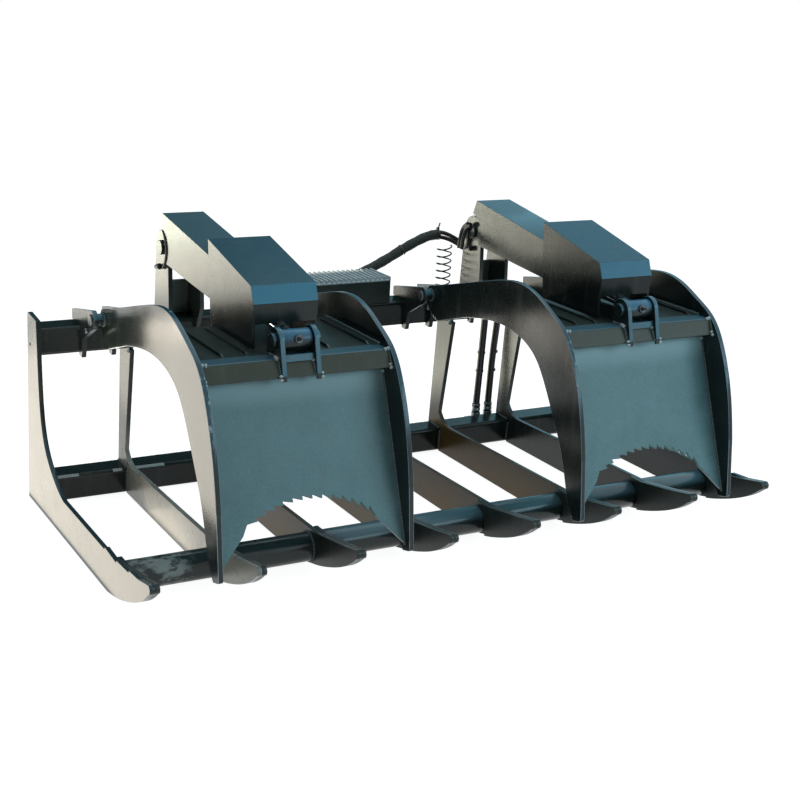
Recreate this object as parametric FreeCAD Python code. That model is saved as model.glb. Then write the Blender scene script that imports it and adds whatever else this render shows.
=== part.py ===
"""Root grapple bucket: eight skeleton tines on two square tubes and a front pipe,
with two hydraulic clamps hinged on the top tube.

Frame: X across the width, forward is -Y, Z up.  The origin is on the ground under the
middle of the bucket.  Sizes are millimetres.  A side profile is given as (reach, height):
reach is the distance forward of the rear bottom corner of the tines, height is above ground.
"""

import FreeCAD, Part
import math
import os
from FreeCAD import Vector

# ---------------------------------------------------------------- frame of the bucket
WIDTH = 1829.0              # over the two end plates
PLATE = 12.7                # tines, arches, ears
TINE_COUNT = 8              # end plates included
LEAN = 3.4657               # the back leans forward at the top, degrees
TOUCH_GAP = 0.3             # between curved faces that only touch

TUBE = 76.2                 # square tubes, outside
TUBE_WALL = 6.35
TUBE_CORNER = 10.0
LOWER_TUBE_HEIGHT = 5.0     # underside, measured up the leaning back
TOP_TUBE_HEIGHT = 439.0

PIPE_RADIUS = 38.1          # front pipe
PIPE_WALL = 7.1
PIPE_REACH = 738.0
PIPE_HEIGHT = 50.0
PIPE_FIT = 0.4              # pipe to the holes in the tines

# ---------------------------------------------------------------- tines
BAND_TOP_DEPTH = 90.0       # upright band of a tine at the top tube
BAND_FOOT = (66.0, 128.0)   # front edge of the upright, over the lower tube
CORNER_MID = (92.0, 103.0)  # rounded inner corner between upright and floor
CORNER_END = (136.0, 92.0)
FLOOR_REACH = 790.0         # end of the level floor edge
FLOOR_HEIGHT = 104.0
NOSE_RISE_REACH = 925.0
NOSE_RISE_HEIGHT = 125.0
TIP_REACH = 1006.0
TIP_HEIGHT = 139.0
TIP_DEPTH = 24.0
KEEL_REACH = 697.0          # where the flat underside ends
KEEL = ((750.0, 9.0), (805.0, 22.0), (865.0, 42.0), (940.0, 75.0))
CHEEK = 12.7                # doubler on the nose, beside the tine
CHEEK_GAP = 2.5             # from the pipe to the doubler
CHEEK_FOOT_HEIGHT = 30.0    # the doubler's rear corner, above the ground
CHEEK_FOOT_BACK = 4.0

END_TOP_HEIGHT = 545.0      # end plate, up the leaning back
END_TOP_DEPTH = 84.7
END_TOP_DROP = 3.0          # its upper edge falls this much to the front
END_THROAT_TOP = (125.0, 395.0)
END_THROAT = ((132.0, 320.0), (148.0, 250.0), (180.0, 193.0), (222.0, 156.0), (272.0, 127.0))
END_THROAT_FOOT = (340.0, 104.0)
END_CORNER_RADIUS = 9.0
END_HOLE = (54.0, 457.0)
END_HOLE_RADIUS = 5.0
END_TOOTH_REACHES = (682.0, 770.0, 860.0)
END_TOOTH_RISE = 6.0
END_TOOTH_SLOPE = 3.0

# ---------------------------------------------------------------- clamp hinge
CLAMP_X = 503.25            # centre of a clamp, each side of the middle
HINGE = (203.0, 549.0)
HINGE_PIN_RADIUS = 11.1
PIN_FIT = 0.05              # radial running clearance
BOSS_RADIUS = 16.0
BOSS_GAP = 0.5              # boss face to ear face
ARCH_INSIDE = 241.75        # clamp centre to an arch's inner face
OUTER_BOSS = 20.6           # arch to the outer ear
INNER_BOSS = 37.8           # arch to the inner ear
EAR_TOP_REAR = (30.0, 542.0)
EAR_TOP_FRONT = (207.0, 575.5)
EAR_NOSE_RADIUS = 27.0
EAR_FACE_DEPTH = 22.0       # the ear's strip down the tube's front face
EAR_FACE_TOP = 0.62         # share of the tube's face under the ear's full depth
EAR_FOOT_DEPTH = 13.0       # the strip's depth at its lower end
EAR_NUB = 9.0               # how far the ear wraps under the tube
PIN_HEAD_RADIUS = 15.0
PIN_HEAD = 5.0
KEEPER_RADIUS = 7.5
KEEPER_HEIGHT = 8.0
KEEPER = (-32.0, -36.0)     # keeper bolt from the pin, forward and up

# ---------------------------------------------------------------- clamp arches
ARCH_BACK = ((244.0, 588.0), (366.0, 619.0), (518.0, 659.0))
ARCH_CROWN = ((612.0, 679.0), (682.0, 681.0), (745.0, 666.0), (808.0, 638.0))
ARCH_BROW = ((872.0, 603.0), (938.0, 512.0), (984.0, 384.0), (1004.0, 284.0))
ARCH_TIP_FRONT = (1022.0, 124.0)
ARCH_TIP_REAR = (988.0, 115.0)
ARCH_TIP_RADIUS = 9.0
ARCH_SHIN = ((960.0, 154.0), (936.0, 216.0), (902.0, 298.0))
ARCH_KNEE = ((866.0, 357.0), (808.0, 446.0), (760.0, 500.0), (690.0, 535.0))
ARCH_BELLY = ((606.0, 549.0), (505.0, 544.0), (392.0, 523.0), (245.0, 478.0))
ARCH_HEEL_RADIUS = 28.0     # round the hinge pin
ARCH_HEEL_ANGLES = (200.0, 150.0, 107.0)
ARCH_HEEL_FOOT = (212.0, 492.0)
ARCH_HEEL_MID = (186.0, 515.0)

# ---------------------------------------------------------------- clamp face
PANEL = 9.5
PANEL_TOP = (842.0, 552.0)  # front face of the panel at its upper edge
PANEL_FOOT = (1000.0, 130.0)
PANEL_LENGTH = 443.0
CUTOUT_RADIUS = 285.0       # arc through the roots of the teeth
CUTOUT_CROWN = 292.0        # crown of that arc below the panel's upper edge
CUTOUT_HALF = 160.0         # the outermost roots from the panel's middle
CUTOUT_SHOULDER = (173.0, 367.0)    # where the slanted edge of a leg meets the teeth
TOOTH_COUNT = 13
TOOTH_DEPTH = 11.0

BAR_TOP_FRONT = (871.0, 596.0)
BAR_BOTTOM_FRONT = (893.0, 554.0)
BAR_BOTTOM_REAR = (850.0, 552.5)
BAR_TOP_REAR = (824.0, 596.0)
BAR_WALL = 6.35
DECK = 6.35
DECK_REAR = 530.0
DECK_HEIGHT = 590.0
RIB = 6.35
RIB_HEIGHT = 7.0
RIB_RAMP = 14.0             # length of a rib's sloping ends
RIB_START = 20.0            # from the deck's rear edge
RIB_OFFSETS = (-168.0, -106.0, 106.0, 212.0)

ROD_PIN = (848.0, 634.0)
ROD_PIN_RADIUS = 12.7
CLEVIS_INSIDE = 38.3        # clamp centre to a clevis ear's inner face
CLEVIS_HEAD_RADIUS = 32.0
CLEVIS_HEAD_ANGLES = (95.0, 15.0)
CLEVIS_FOOT_FRONT = (899.0, 546.0)
CLEVIS_FOOT_DEPTH = 6.0
CLEVIS_FOOT_RISE = 14.0
CLEVIS_REAR_REACH = 806.0
CLEVIS_REAR_SLOPE = 8.0
BRIDGE_RISE = 9.0           # strip between the ears, above the crossbar
BRIDGE = 6.35
ROD_PIN_HEAD_RADIUS = 19.0
ROD_PIN_HEAD = 9.0
ROD_PIN_HEAD_GAP = 0.3

# ---------------------------------------------------------------- cylinder tower
BASE_PIN = (95.0, 712.0)
BASE_PIN_RADIUS = 12.7
TOWER_INSIDE = 39.3
TOWER_HEAD_RADIUS = 48.0
TOWER_HEAD_ANGLES = (172.0, 90.0, -20.0)
TOWER_FRONT_SHOULDER = (144.0, 670.0)
TOWER_FRONT_FOOT = (150.0, 545.0)
TOWER_FACE_DEPTH = 16.0
TOWER_FOOT_DEPTH = 10.0
TOWER_FACE_TOP = 0.7        # share of the tube's face under the tower's full depth
TOWER_BACK_TOP = 610.0
TOWER_BACK_DEPTH = 8.0      # from the tube's rear face
TOWER_BACK_LEAN = 0.1
BASE_PIN_HEAD_RADIUS = 20.0
BASE_PIN_HEAD = 8.0

# ---------------------------------------------------------------- cylinder
BARREL_RADIUS = 31.75
BORE_RADIUS = 25.4
BARREL_START = 46.0         # from the base pin
BARREL_END = 487.0
BASE_CAP = 22.0
NECK_RADIUS = 22.9
NECK_START = 8.0
BASE_EYE_WALL = 8.5
BASE_EYE_HALF = 36.0
OPEN_PIVOT_PLAY = 12.9      # clearance round the base pin, where the linkage is opened
OPEN_PIVOT_SHIFT = (-2.4, 12.4)  # centre of the base eye from the pin, forward and up the axis
ROD_RADIUS = 15.9
ROD_FIT = 0.1
GLAND = 24.0
PISTON = 30.0
PISTON_FIT = 0.1
PISTON_GAP = 12.0           # piston to gland with the clamp closed
ROD_EYE_RADIUS = 25.0
ROD_EYE_HALF = 36.0
ROD_EYE_WELD = 15.0         # how far the bar runs into the eye
PORT_RADIUS = 11.0
PORT_HEIGHT = 12.0
REAR_PORT = 16.0            # from the barrel's start
FRONT_PORT = 44.0           # from the barrel's end

GUARD = 6.35                # bent plate of both guards
REAR_GUARD_INSIDE = 53.2
REAR_GUARD_TOP_REAR = (118.0, 811.0)
REAR_GUARD_TOP_FRONT = (563.0, 745.0)
REAR_GUARD_NOSE = (575.0, 735.0)
REAR_GUARD_FOOT_FRONT = (575.0, 634.0)
REAR_GUARD_FOOT_MID = (496.0, 648.0)
REAR_GUARD_FOOT_REAR = (146.0, 676.0)
REAR_GUARD_REAR_TOP = (97.0, 764.0)
HEAD_CUTOUT_RADIUS = 56.0
SADDLE = 6.35
SADDLE_STATIONS = (110.0, 430.0)    # from the base pin, along the barrel
SADDLE_SHIFT = 30.0         # the guard's upper rear corner is this far from the base pin
FRONT_GUARD_INSIDE = 77.65
FRONT_GUARD_TOP_REAR = (511.0, 814.0)
FRONT_GUARD_TOP_FRONT = (782.0, 752.0)
FRONT_GUARD_LIP = (799.0, 711.0)
FRONT_GUARD_FOOT_REAR = (533.0, 601.0)
FRONT_GUARD_FOOT_FRONT = (792.0, 601.0)
FRONT_GUARD_CHIN = (795.0, 661.0)   # lower edge of the front plate, over the rod
ROD_TAB_HALF = 22.0

# ---------------------------------------------------------------- step
STEP_HALF = 163.0
STEP_FRONT = 106.0
STEP_REAR = -24.5
STEP_TOP = 589.0
STEP_SHEET = 5.0
GRATING = 12.0
GRATING_BASE = 3.0
GRATING_BARS = 21
GRATING_BAR = 5.0
STEP_REAR_SKIRT = 34.0

# ---------------------------------------------------------------- attachment rails
RAIL_HALF = 556.0
RAIL = 9.5
HOOK_LEG_TOP = 492.0
HOOK_LEG = 46.0
HOOK_LIP = 44.0
HOOK_ANGLE = 40.0
HOOK_THROAT = 15.2          # leg to lip, below the leg's upper edge
WEDGE_LEG_TOP = 74.0
WEDGE_FLANGE = 58.0
WEDGE_FLANGE_HEIGHT = 8.0
WEDGE_SLOT_INSET = 38.5     # slot centre from the rail's end, so the slots are 1035 apart
WEDGE_SLOT_LENGTH = 64.0
WEDGE_SLOT_WIDTH = 30.0
WEDGE_SLOT_FROM_EDGE = 25.0

# ---------------------------------------------------------------- hoses
HOSE_RADIUS = 11.5
HOSE_REACH = -30.0
SUPPLY_TOP = 440.0
SUPPLY_FOOT = 78.0
SUPPLY_ROUTES = (           # across from the rails' end, and share of the way down
    ((42.0, 0.0), (42.0, 0.12), (37.0, 0.45), (30.0, 0.88), (30.0, 1.0)),
    ((92.0, 0.0), (92.0, 0.12), (80.0, 0.5), (76.0, 0.88), (76.0, 1.0)),
)
SLEEVE_RADIUS = 16.5
SLEEVE_ROUTE = (
    (128.0, -41.3, 566.0),
    (209.0, -41.3, 592.0),
    (300.0, -30.0, 640.0),
    (385.0, -30.0, 677.0),
    (455.0, -28.0, 664.0),
    (500.0, -6.0, 634.0),
)
SPRING_X = 407.0
SPRING_REACH = 5.0
SPRING_SEAT = 6.0           # plate on the tube's rear top edge, under the spring
SPRING_COIL_RADIUS = 22.0
SPRING_WIRE_RADIUS = 2.2
SPRING_TURNS = 6
SPRING_TOP_GAP = 6.0        # below the sleeve's bend
SPRING_SEAT_EDGE = 2.0
JUNCTION = 44.0             # width and height of a junction block
JUNCTION_COVER = 3.0        # block beyond the hose
COUPLER_RADIUS = 15.0
COUPLER_LENGTH = 37.0
COUPLER_NOSE_RADIUS = 9.5
COUPLER_NOSE = 25.0
BRACKET = 5.0
BRACKET_MARGIN = 12.0
BRACKET_HEIGHT = 52.0

SLOPE = math.radians(LEAN)
SIDES = (("left", -1), ("right", 1))


# ---------------------------------------------------------------- drawing helpers
def at(point, x=0.0):
    """A (reach, height) point of a side profile, at X."""
    return Vector(x, -point[0], point[1])


def leaned(depth, up):
    """A (reach, height) point given square to the leaning back."""
    cosine = math.cos(SLOPE)
    sine = math.sin(SLOPE)
    return (depth * cosine + up * sine, up * cosine - depth * sine)


def along(start, end, distance, across=0.0):
    """The point DISTANCE from start towards end, moved ACROSS to the left of that line."""
    length = math.hypot(end[0] - start[0], end[1] - start[1])
    ux = (end[0] - start[0]) / length
    uz = (end[1] - start[1]) / length
    return (start[0] + ux * distance - uz * across, start[1] + uz * distance + ux * across)


def polar(centre, radius, degrees):
    """A point on a circle in the side view; 0 degrees is forward, 90 is up."""
    angle = math.radians(degrees)
    return (centre[0] + radius * math.cos(angle), centre[1] + radius * math.sin(angle))


def smooth(points):
    """A curve through the given points."""
    curve = Part.BSplineCurve()
    curve.interpolate([at(p) for p in points])
    return curve.toShape()


def side_plate(steps, x_low, thickness):
    """A plate cut to a side profile and laid from x_low towards +X.

    Each step is a point, ("arc", middle, end) or ("curve", points...), from the point before it.
    """
    first = steps[0]
    here = first
    edges = []
    for step in list(steps[1:]) + [first]:
        if step[0] == "arc":
            edges.append(Part.Arc(at(here), at(step[1]), at(step[2])).toShape())
            here = step[2]
        elif step[0] == "curve":
            edges.append(smooth([here] + list(step[1:])))
            here = step[-1]
        elif math.dist(here, step) > 1e-6:
            edges.append(Part.LineSegment(at(here), at(step)).toShape())
            here = step
    face = Part.Face(Part.Wire(edges))
    plate = face.extrude(Vector(thickness, 0, 0))
    plate.translate(Vector(x_low, 0, 0))
    return plate


def cross_rod(point, radius, x_low, x_high):
    """A round bar across the bucket."""
    return Part.makeCylinder(radius, x_high - x_low, at(point, x_low), Vector(1, 0, 0))


def rod_between(start, end, radius, x=0.0):
    """A round bar in the side view from start to end."""
    a = at(start, x)
    b = at(end, x)
    return Part.makeCylinder(radius, (b - a).Length, a, b - a)


def round_edges(shape, radius, test):
    """Fillets the edges that pass the test."""
    edges = [edge for edge in shape.Edges if test(edge)]
    return shape.makeFillet(radius, edges)


def across_at(point, tolerance=0.6):
    """A test for the edge that runs across the bucket through a side-profile point."""
    def test(edge):
        ends = [v.Point for v in edge.Vertexes]
        if len(ends) != 2 or abs(ends[0].x - ends[1].x) < 1e-3:
            return False
        return all(math.dist((-e.y, e.z), point) < tolerance for e in ends)
    return test


def mirrored(shape):
    """The same piece on the other side of the middle."""
    return shape.mirror(Vector(0, 0, 0), Vector(1, 0, 0))


def middle_reach():
    """Reach of the middle of the bucket, between the arches' tips and the rear of the wedge rail."""
    tip = -arch(0.0).BoundBox.YMin
    return (tip - WEDGE_FLANGE) / 2


def save(name, pieces):
    """Writes one node, a single solid or a group of equal pieces, about the frame's origin."""
    pieces = pieces if isinstance(pieces, list) else [pieces]
    shape = pieces[0].copy() if len(pieces) == 1 else Part.makeCompound(pieces)
    shape.translate(Vector(0, middle_reach(), 0))
    for solid in shape.Solids:
        if not solid.isValid():
            print("not valid:", name)
    shape.exportStep("parts/" + name + ".step")
    print(name, len(shape.Solids), "solids", round(shape.Volume))


# ---------------------------------------------------------------- tubes
def square_tube(up, half_length):
    """A square tube across the bucket, on the leaning back."""
    outer = Part.makeBox(2 * half_length, TUBE, TUBE, Vector(-half_length, -TUBE, up))
    outer = round_edges(outer, TUBE_CORNER, lambda e: abs(e.BoundBox.XLength - 2 * half_length) < 1e-3)
    inside = TUBE - 2 * TUBE_WALL
    corner = Vector(-half_length, -TUBE + TUBE_WALL, up + TUBE_WALL)
    bore = Part.makeBox(2 * half_length, inside, inside, corner)
    tube = outer.cut(bore)
    tube.rotate(Vector(0, 0, 0), Vector(1, 0, 0), LEAN)
    return tube


def pitch():
    """Spacing of the tines."""
    return (WIDTH - PLATE) / (TINE_COUNT - 1)


def tine_lefts():
    """Left face of each tine, from the left end plate to the right one."""
    return [-WIDTH / 2 + i * pitch() for i in range(TINE_COUNT)]


# ---------------------------------------------------------------- tines
def nose_steps():
    """The nose of every tine, from the floor edge round the tip to the flat underside."""
    tip_low = (TIP_REACH - TIP_DEPTH * 0.4, TIP_HEIGHT - TIP_DEPTH)
    tip_high = (TIP_REACH - TIP_DEPTH * 0.4, TIP_HEIGHT)
    return [
        (NOSE_RISE_REACH, NOSE_RISE_HEIGHT),
        tip_high,
        ("arc", (TIP_REACH, TIP_HEIGHT - TIP_DEPTH / 2), tip_low),
        ("curve",) + tuple(reversed(KEEL)) + ((KEEL_REACH, 0.0),),
    ]


def tine(x_low):
    """An inner tine: upright band and floor band in one plate, cut round the lower tube."""
    tube_top = LOWER_TUBE_HEIGHT + TUBE
    steps = [
        leaned(0, tube_top),
        leaned(0, TOP_TUBE_HEIGHT),
        leaned(BAND_TOP_DEPTH, TOP_TUBE_HEIGHT),
        BAND_FOOT,
        ("arc", CORNER_MID, CORNER_END),
        (FLOOR_REACH, FLOOR_HEIGHT),
    ]
    steps += nose_steps()
    steps += [leaned(TUBE, TUBE * math.tan(SLOPE)), leaned(TUBE, tube_top)]
    plate = side_plate(steps, x_low, PLATE)
    hole = cross_rod((PIPE_REACH, PIPE_HEIGHT), PIPE_RADIUS + PIPE_FIT, x_low - 1, x_low + PLATE + 1)
    return plate.cut(hole)


def end_plate(x_low):
    """An end plate: the tine's floor band, with a deep upright that closes the tubes' ends."""
    steps = [
        (0.0, 0.0),
        leaned(0, END_TOP_HEIGHT),
        leaned(END_TOP_DEPTH, END_TOP_HEIGHT - END_TOP_DROP),
        END_THROAT_TOP,
        ("curve",) + END_THROAT + (END_THROAT_FOOT,),
    ]
    for reach in END_TOOTH_REACHES:
        low = floor_edge(reach)
        steps += [(reach, low), (reach + END_TOOTH_SLOPE, low + END_TOOTH_RISE)]
    steps += nose_steps()
    plate = side_plate(steps, x_low, PLATE)
    rear_top = leaned(0, END_TOP_HEIGHT)
    plate = round_edges(plate, END_CORNER_RADIUS, across_at(rear_top))
    return plate.cut(cross_rod(END_HOLE, END_HOLE_RADIUS, x_low - 1, x_low + PLATE + 1))


def floor_edge(reach):
    """Height of the end plate's upper edge at a reach."""
    if reach <= FLOOR_REACH:
        share = (reach - END_THROAT_FOOT[0]) / (FLOOR_REACH - END_THROAT_FOOT[0])
        return END_THROAT_FOOT[1] + share * (FLOOR_HEIGHT - END_THROAT_FOOT[1])
    share = (reach - FLOOR_REACH) / (NOSE_RISE_REACH - FLOOR_REACH)
    return FLOOR_HEIGHT + share * (NOSE_RISE_HEIGHT - FLOOR_HEIGHT)


def nose_cheek(x_low):
    """The doubler beside a tine's nose, cut back in a curve round the front pipe."""
    steps = [(KEEL_REACH, 0.0), (KEEL_REACH, FLOOR_HEIGHT), (FLOOR_REACH, FLOOR_HEIGHT)]
    steps += nose_steps()
    plate = side_plate(steps, x_low, CHEEK)
    clear = PIPE_RADIUS + CHEEK_GAP
    behind = (PIPE_REACH, -TIP_HEIGHT)
    plate = plate.cut(block(behind, TIP_REACH, 3 * TIP_HEIGHT, x_low))
    plate = plate.cut(cross_rod((PIPE_REACH, PIPE_HEIGHT), clear, x_low, x_low + CHEEK))
    below = (PIPE_REACH + clear + CHEEK_FOOT_BACK, CHEEK_FOOT_HEIGHT - TIP_HEIGHT)
    plate = plate.cut(block(below, TIP_REACH, TIP_HEIGHT, x_low))
    return max(plate.Solids, key=lambda s: s.Volume)


def block(corner, length, height, x_low):
    """A cutting block behind and above a side-profile point, as wide as a doubler."""
    return Part.makeBox(CHEEK, length, height, at(corner, x_low))


# ---------------------------------------------------------------- clamp hinge on the bucket
def hinge_ear(x_low):
    """A hinge ear: on the tube's top and front faces, with a nub below and a nose round the pin."""
    under = TOP_TUBE_HEIGHT - EAR_NUB
    steps = [
        EAR_TOP_REAR,
        EAR_TOP_FRONT,
        ("arc", polar(HINGE, EAR_NOSE_RADIUS, 0), polar(HINGE, EAR_NOSE_RADIUS, -80)),
        leaned(TUBE + EAR_FACE_DEPTH, TOP_TUBE_HEIGHT + TUBE * EAR_FACE_TOP),
        leaned(TUBE + EAR_FOOT_DEPTH, under),
        leaned(TUBE - TUBE_CORNER, under),
        leaned(TUBE - TUBE_CORNER, TOP_TUBE_HEIGHT),
        leaned(TUBE, TOP_TUBE_HEIGHT),
        leaned(TUBE, TOP_TUBE_HEIGHT + TUBE),
        leaned(0, TOP_TUBE_HEIGHT + TUBE),
    ]
    plate = side_plate(steps, x_low, PLATE)
    return plate.cut(cross_rod(HINGE, HINGE_PIN_RADIUS + PIN_FIT, x_low - 1, x_low + PLATE + 1))


def ear_lefts():
    """Left faces of the two ears at the right-hand arch of a clamp, from the clamp's centre."""
    outer = ARCH_INSIDE + PLATE + OUTER_BOSS
    inner = ARCH_INSIDE - INNER_BOSS - PLATE
    return [inner, outer]


def hinge_pin(side):
    """A headed pin through both ears and the arch between them, at X from the clamp's centre."""
    inner, outer = ear_lefts()
    low = inner - PIN_HEAD
    high = outer + PLATE + PIN_HEAD
    pin = cross_rod(HINGE, HINGE_PIN_RADIUS, low, high)
    for start in (low, high - PIN_HEAD):
        pin = pin.fuse(cross_rod(HINGE, PIN_HEAD_RADIUS, start, start + PIN_HEAD))
    return pin.removeSplitter()


def keeper_bolt(x_face, direction):
    """A cap screw on an ear's side, below the pin."""
    centre = (HINGE[0] + KEEPER[0], HINGE[1] + KEEPER[1])
    low = x_face if direction > 0 else x_face - KEEPER_HEIGHT
    return cross_rod(centre, KEEPER_RADIUS, low, low + KEEPER_HEIGHT)


# ---------------------------------------------------------------- clamp
def arch(x_low):
    """One curved side arm of a clamp."""
    heel = [polar(HINGE, ARCH_HEEL_RADIUS, a) for a in ARCH_HEEL_ANGLES]
    steps = [
        ARCH_HEEL_FOOT,
        ("curve", ARCH_HEEL_MID, heel[0]),
        ("arc", heel[1], heel[2]),
        ARCH_BACK[0],
        ("curve",) + ARCH_BACK[1:] + ARCH_CROWN + ARCH_BROW,
        ARCH_TIP_FRONT,
        ARCH_TIP_REAR,
        ("curve",) + ARCH_SHIN + ARCH_KNEE + ARCH_BELLY[:-1],
        ARCH_BELLY[-1],
    ]
    plate = side_plate(steps, x_low, PLATE)
    plate = round_edges(plate, ARCH_TIP_RADIUS, across_at(ARCH_TIP_FRONT))
    return plate.cut(cross_rod(HINGE, HINGE_PIN_RADIUS + PIN_FIT, x_low - 1, x_low + PLATE + 1))


def hinge_boss(x_low, length):
    """A spacer tube welded to the arch, running on the hinge pin."""
    tube = cross_rod(HINGE, BOSS_RADIUS, x_low, x_low + length)
    return tube.cut(cross_rod(HINGE, HINGE_PIN_RADIUS + PIN_FIT, x_low, x_low + length))


def on_panel(u, down, back=0.0):
    """A point of the panel: u across, DOWN from its upper edge, BACK behind its front face."""
    reach, height = along(PANEL_TOP, PANEL_FOOT, down, -back)
    return Vector(u, -reach, height)


def panel():
    """The clamp's face plate with its toothed arch cut-out and two pointed legs."""
    centre = CUTOUT_CROWN + CUTOUT_RADIUS
    spread = math.asin(CUTOUT_HALF / CUTOUT_RADIUS)
    outline = [(-ARCH_INSIDE, PANEL_LENGTH), (-ARCH_INSIDE, 0.0), (ARCH_INSIDE, 0.0)]
    outline += [(ARCH_INSIDE, PANEL_LENGTH), CUTOUT_SHOULDER]
    for i in range(TOOTH_COUNT + 1):
        angle = spread * (1.0 - 2.0 * i / TOOTH_COUNT)
        radii = (CUTOUT_RADIUS, CUTOUT_RADIUS - TOOTH_DEPTH) if i < TOOTH_COUNT else (CUTOUT_RADIUS,)
        outline += [(radius * math.sin(angle), centre - radius * math.cos(angle)) for radius in radii]
    outline.append((-CUTOUT_SHOULDER[0], CUTOUT_SHOULDER[1]))
    points = [on_panel(u, d) for u, d in outline]
    face = Part.Face(Part.makePolygon(points + [points[0]]))
    return face.extrude(on_panel(0, 0, PANEL) - on_panel(0, 0))


def crossbar():
    """The formed bar across the top of the panel."""
    corners = [BAR_TOP_REAR, BAR_TOP_FRONT, BAR_BOTTOM_FRONT, BAR_BOTTOM_REAR]
    bar = side_plate(corners, -ARCH_INSIDE, 2 * ARCH_INSIDE)
    wire = Part.makePolygon([at(p, -ARCH_INSIDE) for p in corners + corners[:1]])
    inner = wire.makeOffset2D(-BAR_WALL)
    hollow = Part.Face(inner).extrude(Vector(2 * ARCH_INSIDE, 0, 0))
    return bar.cut(hollow)


def deck():
    """The level plate between the arches, behind the crossbar."""
    low = along(BAR_TOP_REAR, BAR_BOTTOM_REAR, (BAR_TOP_REAR[1] - DECK_HEIGHT))
    top = DECK_HEIGHT + DECK
    steps = [(DECK_REAR, DECK_HEIGHT), (DECK_REAR, top), (BAR_TOP_REAR[0], top), BAR_TOP_REAR, low]
    return side_plate(steps, -ARCH_INSIDE, 2 * ARCH_INSIDE)


def deck_rib(offset):
    """A fore-and-aft stiffener on the deck."""
    top = DECK_HEIGHT + DECK
    steps = [
        (DECK_REAR + RIB_START, top),
        (DECK_REAR + RIB_START + RIB_RAMP, top + RIB_HEIGHT),
        (BAR_TOP_REAR[0] - RIB_RAMP, top + RIB_HEIGHT),
        (BAR_TOP_REAR[0], top),
    ]
    return side_plate(steps, offset - RIB / 2, RIB)


def clevis_ear(x_low):
    """One ear of the rod clevis, notched over the crossbar, with a foot in front of it."""
    head = [polar(ROD_PIN, CLEVIS_HEAD_RADIUS, a) for a in CLEVIS_HEAD_ANGLES]
    foot_rear = (CLEVIS_FOOT_FRONT[0] - CLEVIS_FOOT_DEPTH, CLEVIS_FOOT_FRONT[1])
    steps = [
        (CLEVIS_REAR_REACH, DECK_HEIGHT + DECK),
        (CLEVIS_REAR_REACH + CLEVIS_REAR_SLOPE, ROD_PIN[1]),
        ("arc", head[0], head[1]),
        (CLEVIS_FOOT_FRONT[0], CLEVIS_FOOT_FRONT[1] + CLEVIS_FOOT_RISE),
        CLEVIS_FOOT_FRONT,
        foot_rear,
        BAR_BOTTOM_FRONT,
        BAR_TOP_FRONT,
        (BAR_TOP_REAR[0], DECK_HEIGHT + DECK),
    ]
    plate = side_plate(steps, x_low, PLATE)
    return plate.cut(cross_rod(ROD_PIN, ROD_PIN_RADIUS + PIN_FIT, x_low - 1, x_low + PLATE + 1))


def clevis_bridge():
    """The strip in front that ties the two clevis ears."""
    low = along(BAR_TOP_FRONT, BAR_BOTTOM_FRONT, BRIDGE_RISE)
    high = (BAR_TOP_FRONT[0], BAR_TOP_FRONT[1] + BRIDGE_RISE)
    steps = [BAR_TOP_FRONT, high, (high[0] + BRIDGE, high[1]), (low[0] + BRIDGE, low[1]), low]
    return side_plate(steps, -CLEVIS_INSIDE, 2 * CLEVIS_INSIDE)


def rod_pin():
    """The headed pin through the clevis ears and the rod eye."""
    outside = CLEVIS_INSIDE + PLATE + ROD_PIN_HEAD_GAP
    pin = cross_rod(ROD_PIN, ROD_PIN_RADIUS, -outside - ROD_PIN_HEAD, outside + ROD_PIN_HEAD)
    for start in (-outside - ROD_PIN_HEAD, outside):
        pin = pin.fuse(cross_rod(ROD_PIN, ROD_PIN_HEAD_RADIUS, start, start + ROD_PIN_HEAD))
    return pin.removeSplitter()


# ---------------------------------------------------------------- tower
def tower_plate(x_low):
    """One plate of the cylinder tower, standing on the top tube and wrapped down its front."""
    head = [polar(BASE_PIN, TOWER_HEAD_RADIUS, a) for a in TOWER_HEAD_ANGLES]
    under = TOP_TUBE_HEIGHT - EAR_NUB
    top = TOP_TUBE_HEIGHT + TUBE
    steps = [
        leaned(0, top),
        head[0],
        ("arc", head[1], head[2]),
        TOWER_FRONT_SHOULDER,
        TOWER_FRONT_FOOT,
        leaned(TUBE + TOWER_FACE_DEPTH, TOP_TUBE_HEIGHT + TUBE * TOWER_FACE_TOP),
        leaned(TUBE + TOWER_FOOT_DEPTH, under),
        leaned(TUBE - TUBE_CORNER, under),
        leaned(TUBE - TUBE_CORNER, TOP_TUBE_HEIGHT),
        leaned(TUBE, TOP_TUBE_HEIGHT),
        leaned(TUBE, top),
    ]
    plate = side_plate(steps, x_low, PLATE)
    return plate.cut(cross_rod(BASE_PIN, BASE_PIN_RADIUS + PIN_FIT, x_low - 1, x_low + PLATE + 1))


def tower_back(centre):
    """The stiffener between the tower's two plates."""
    top = TOP_TUBE_HEIGHT + TUBE
    foot = leaned(TOWER_BACK_DEPTH, top)
    front = leaned(TOWER_BACK_DEPTH + PLATE, top)
    lean = (TOWER_BACK_TOP - foot[1]) * TOWER_BACK_LEAN
    steps = [foot, (foot[0] + lean, TOWER_BACK_TOP), (front[0] + lean, TOWER_BACK_TOP), front]
    return side_plate(steps, centre - TOWER_INSIDE, 2 * TOWER_INSIDE)


def base_pin(centre):
    """The headed pin through the tower, with the cylinder's base eye hanging on it."""
    outside = TOWER_INSIDE + PLATE
    low = centre - outside - BASE_PIN_HEAD
    pin = cross_rod(BASE_PIN, BASE_PIN_RADIUS, low, centre + outside + BASE_PIN_HEAD)
    for start in (low, centre + outside):
        pin = pin.fuse(cross_rod(BASE_PIN, BASE_PIN_HEAD_RADIUS, start, start + BASE_PIN_HEAD))
    return pin.removeSplitter()


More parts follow.
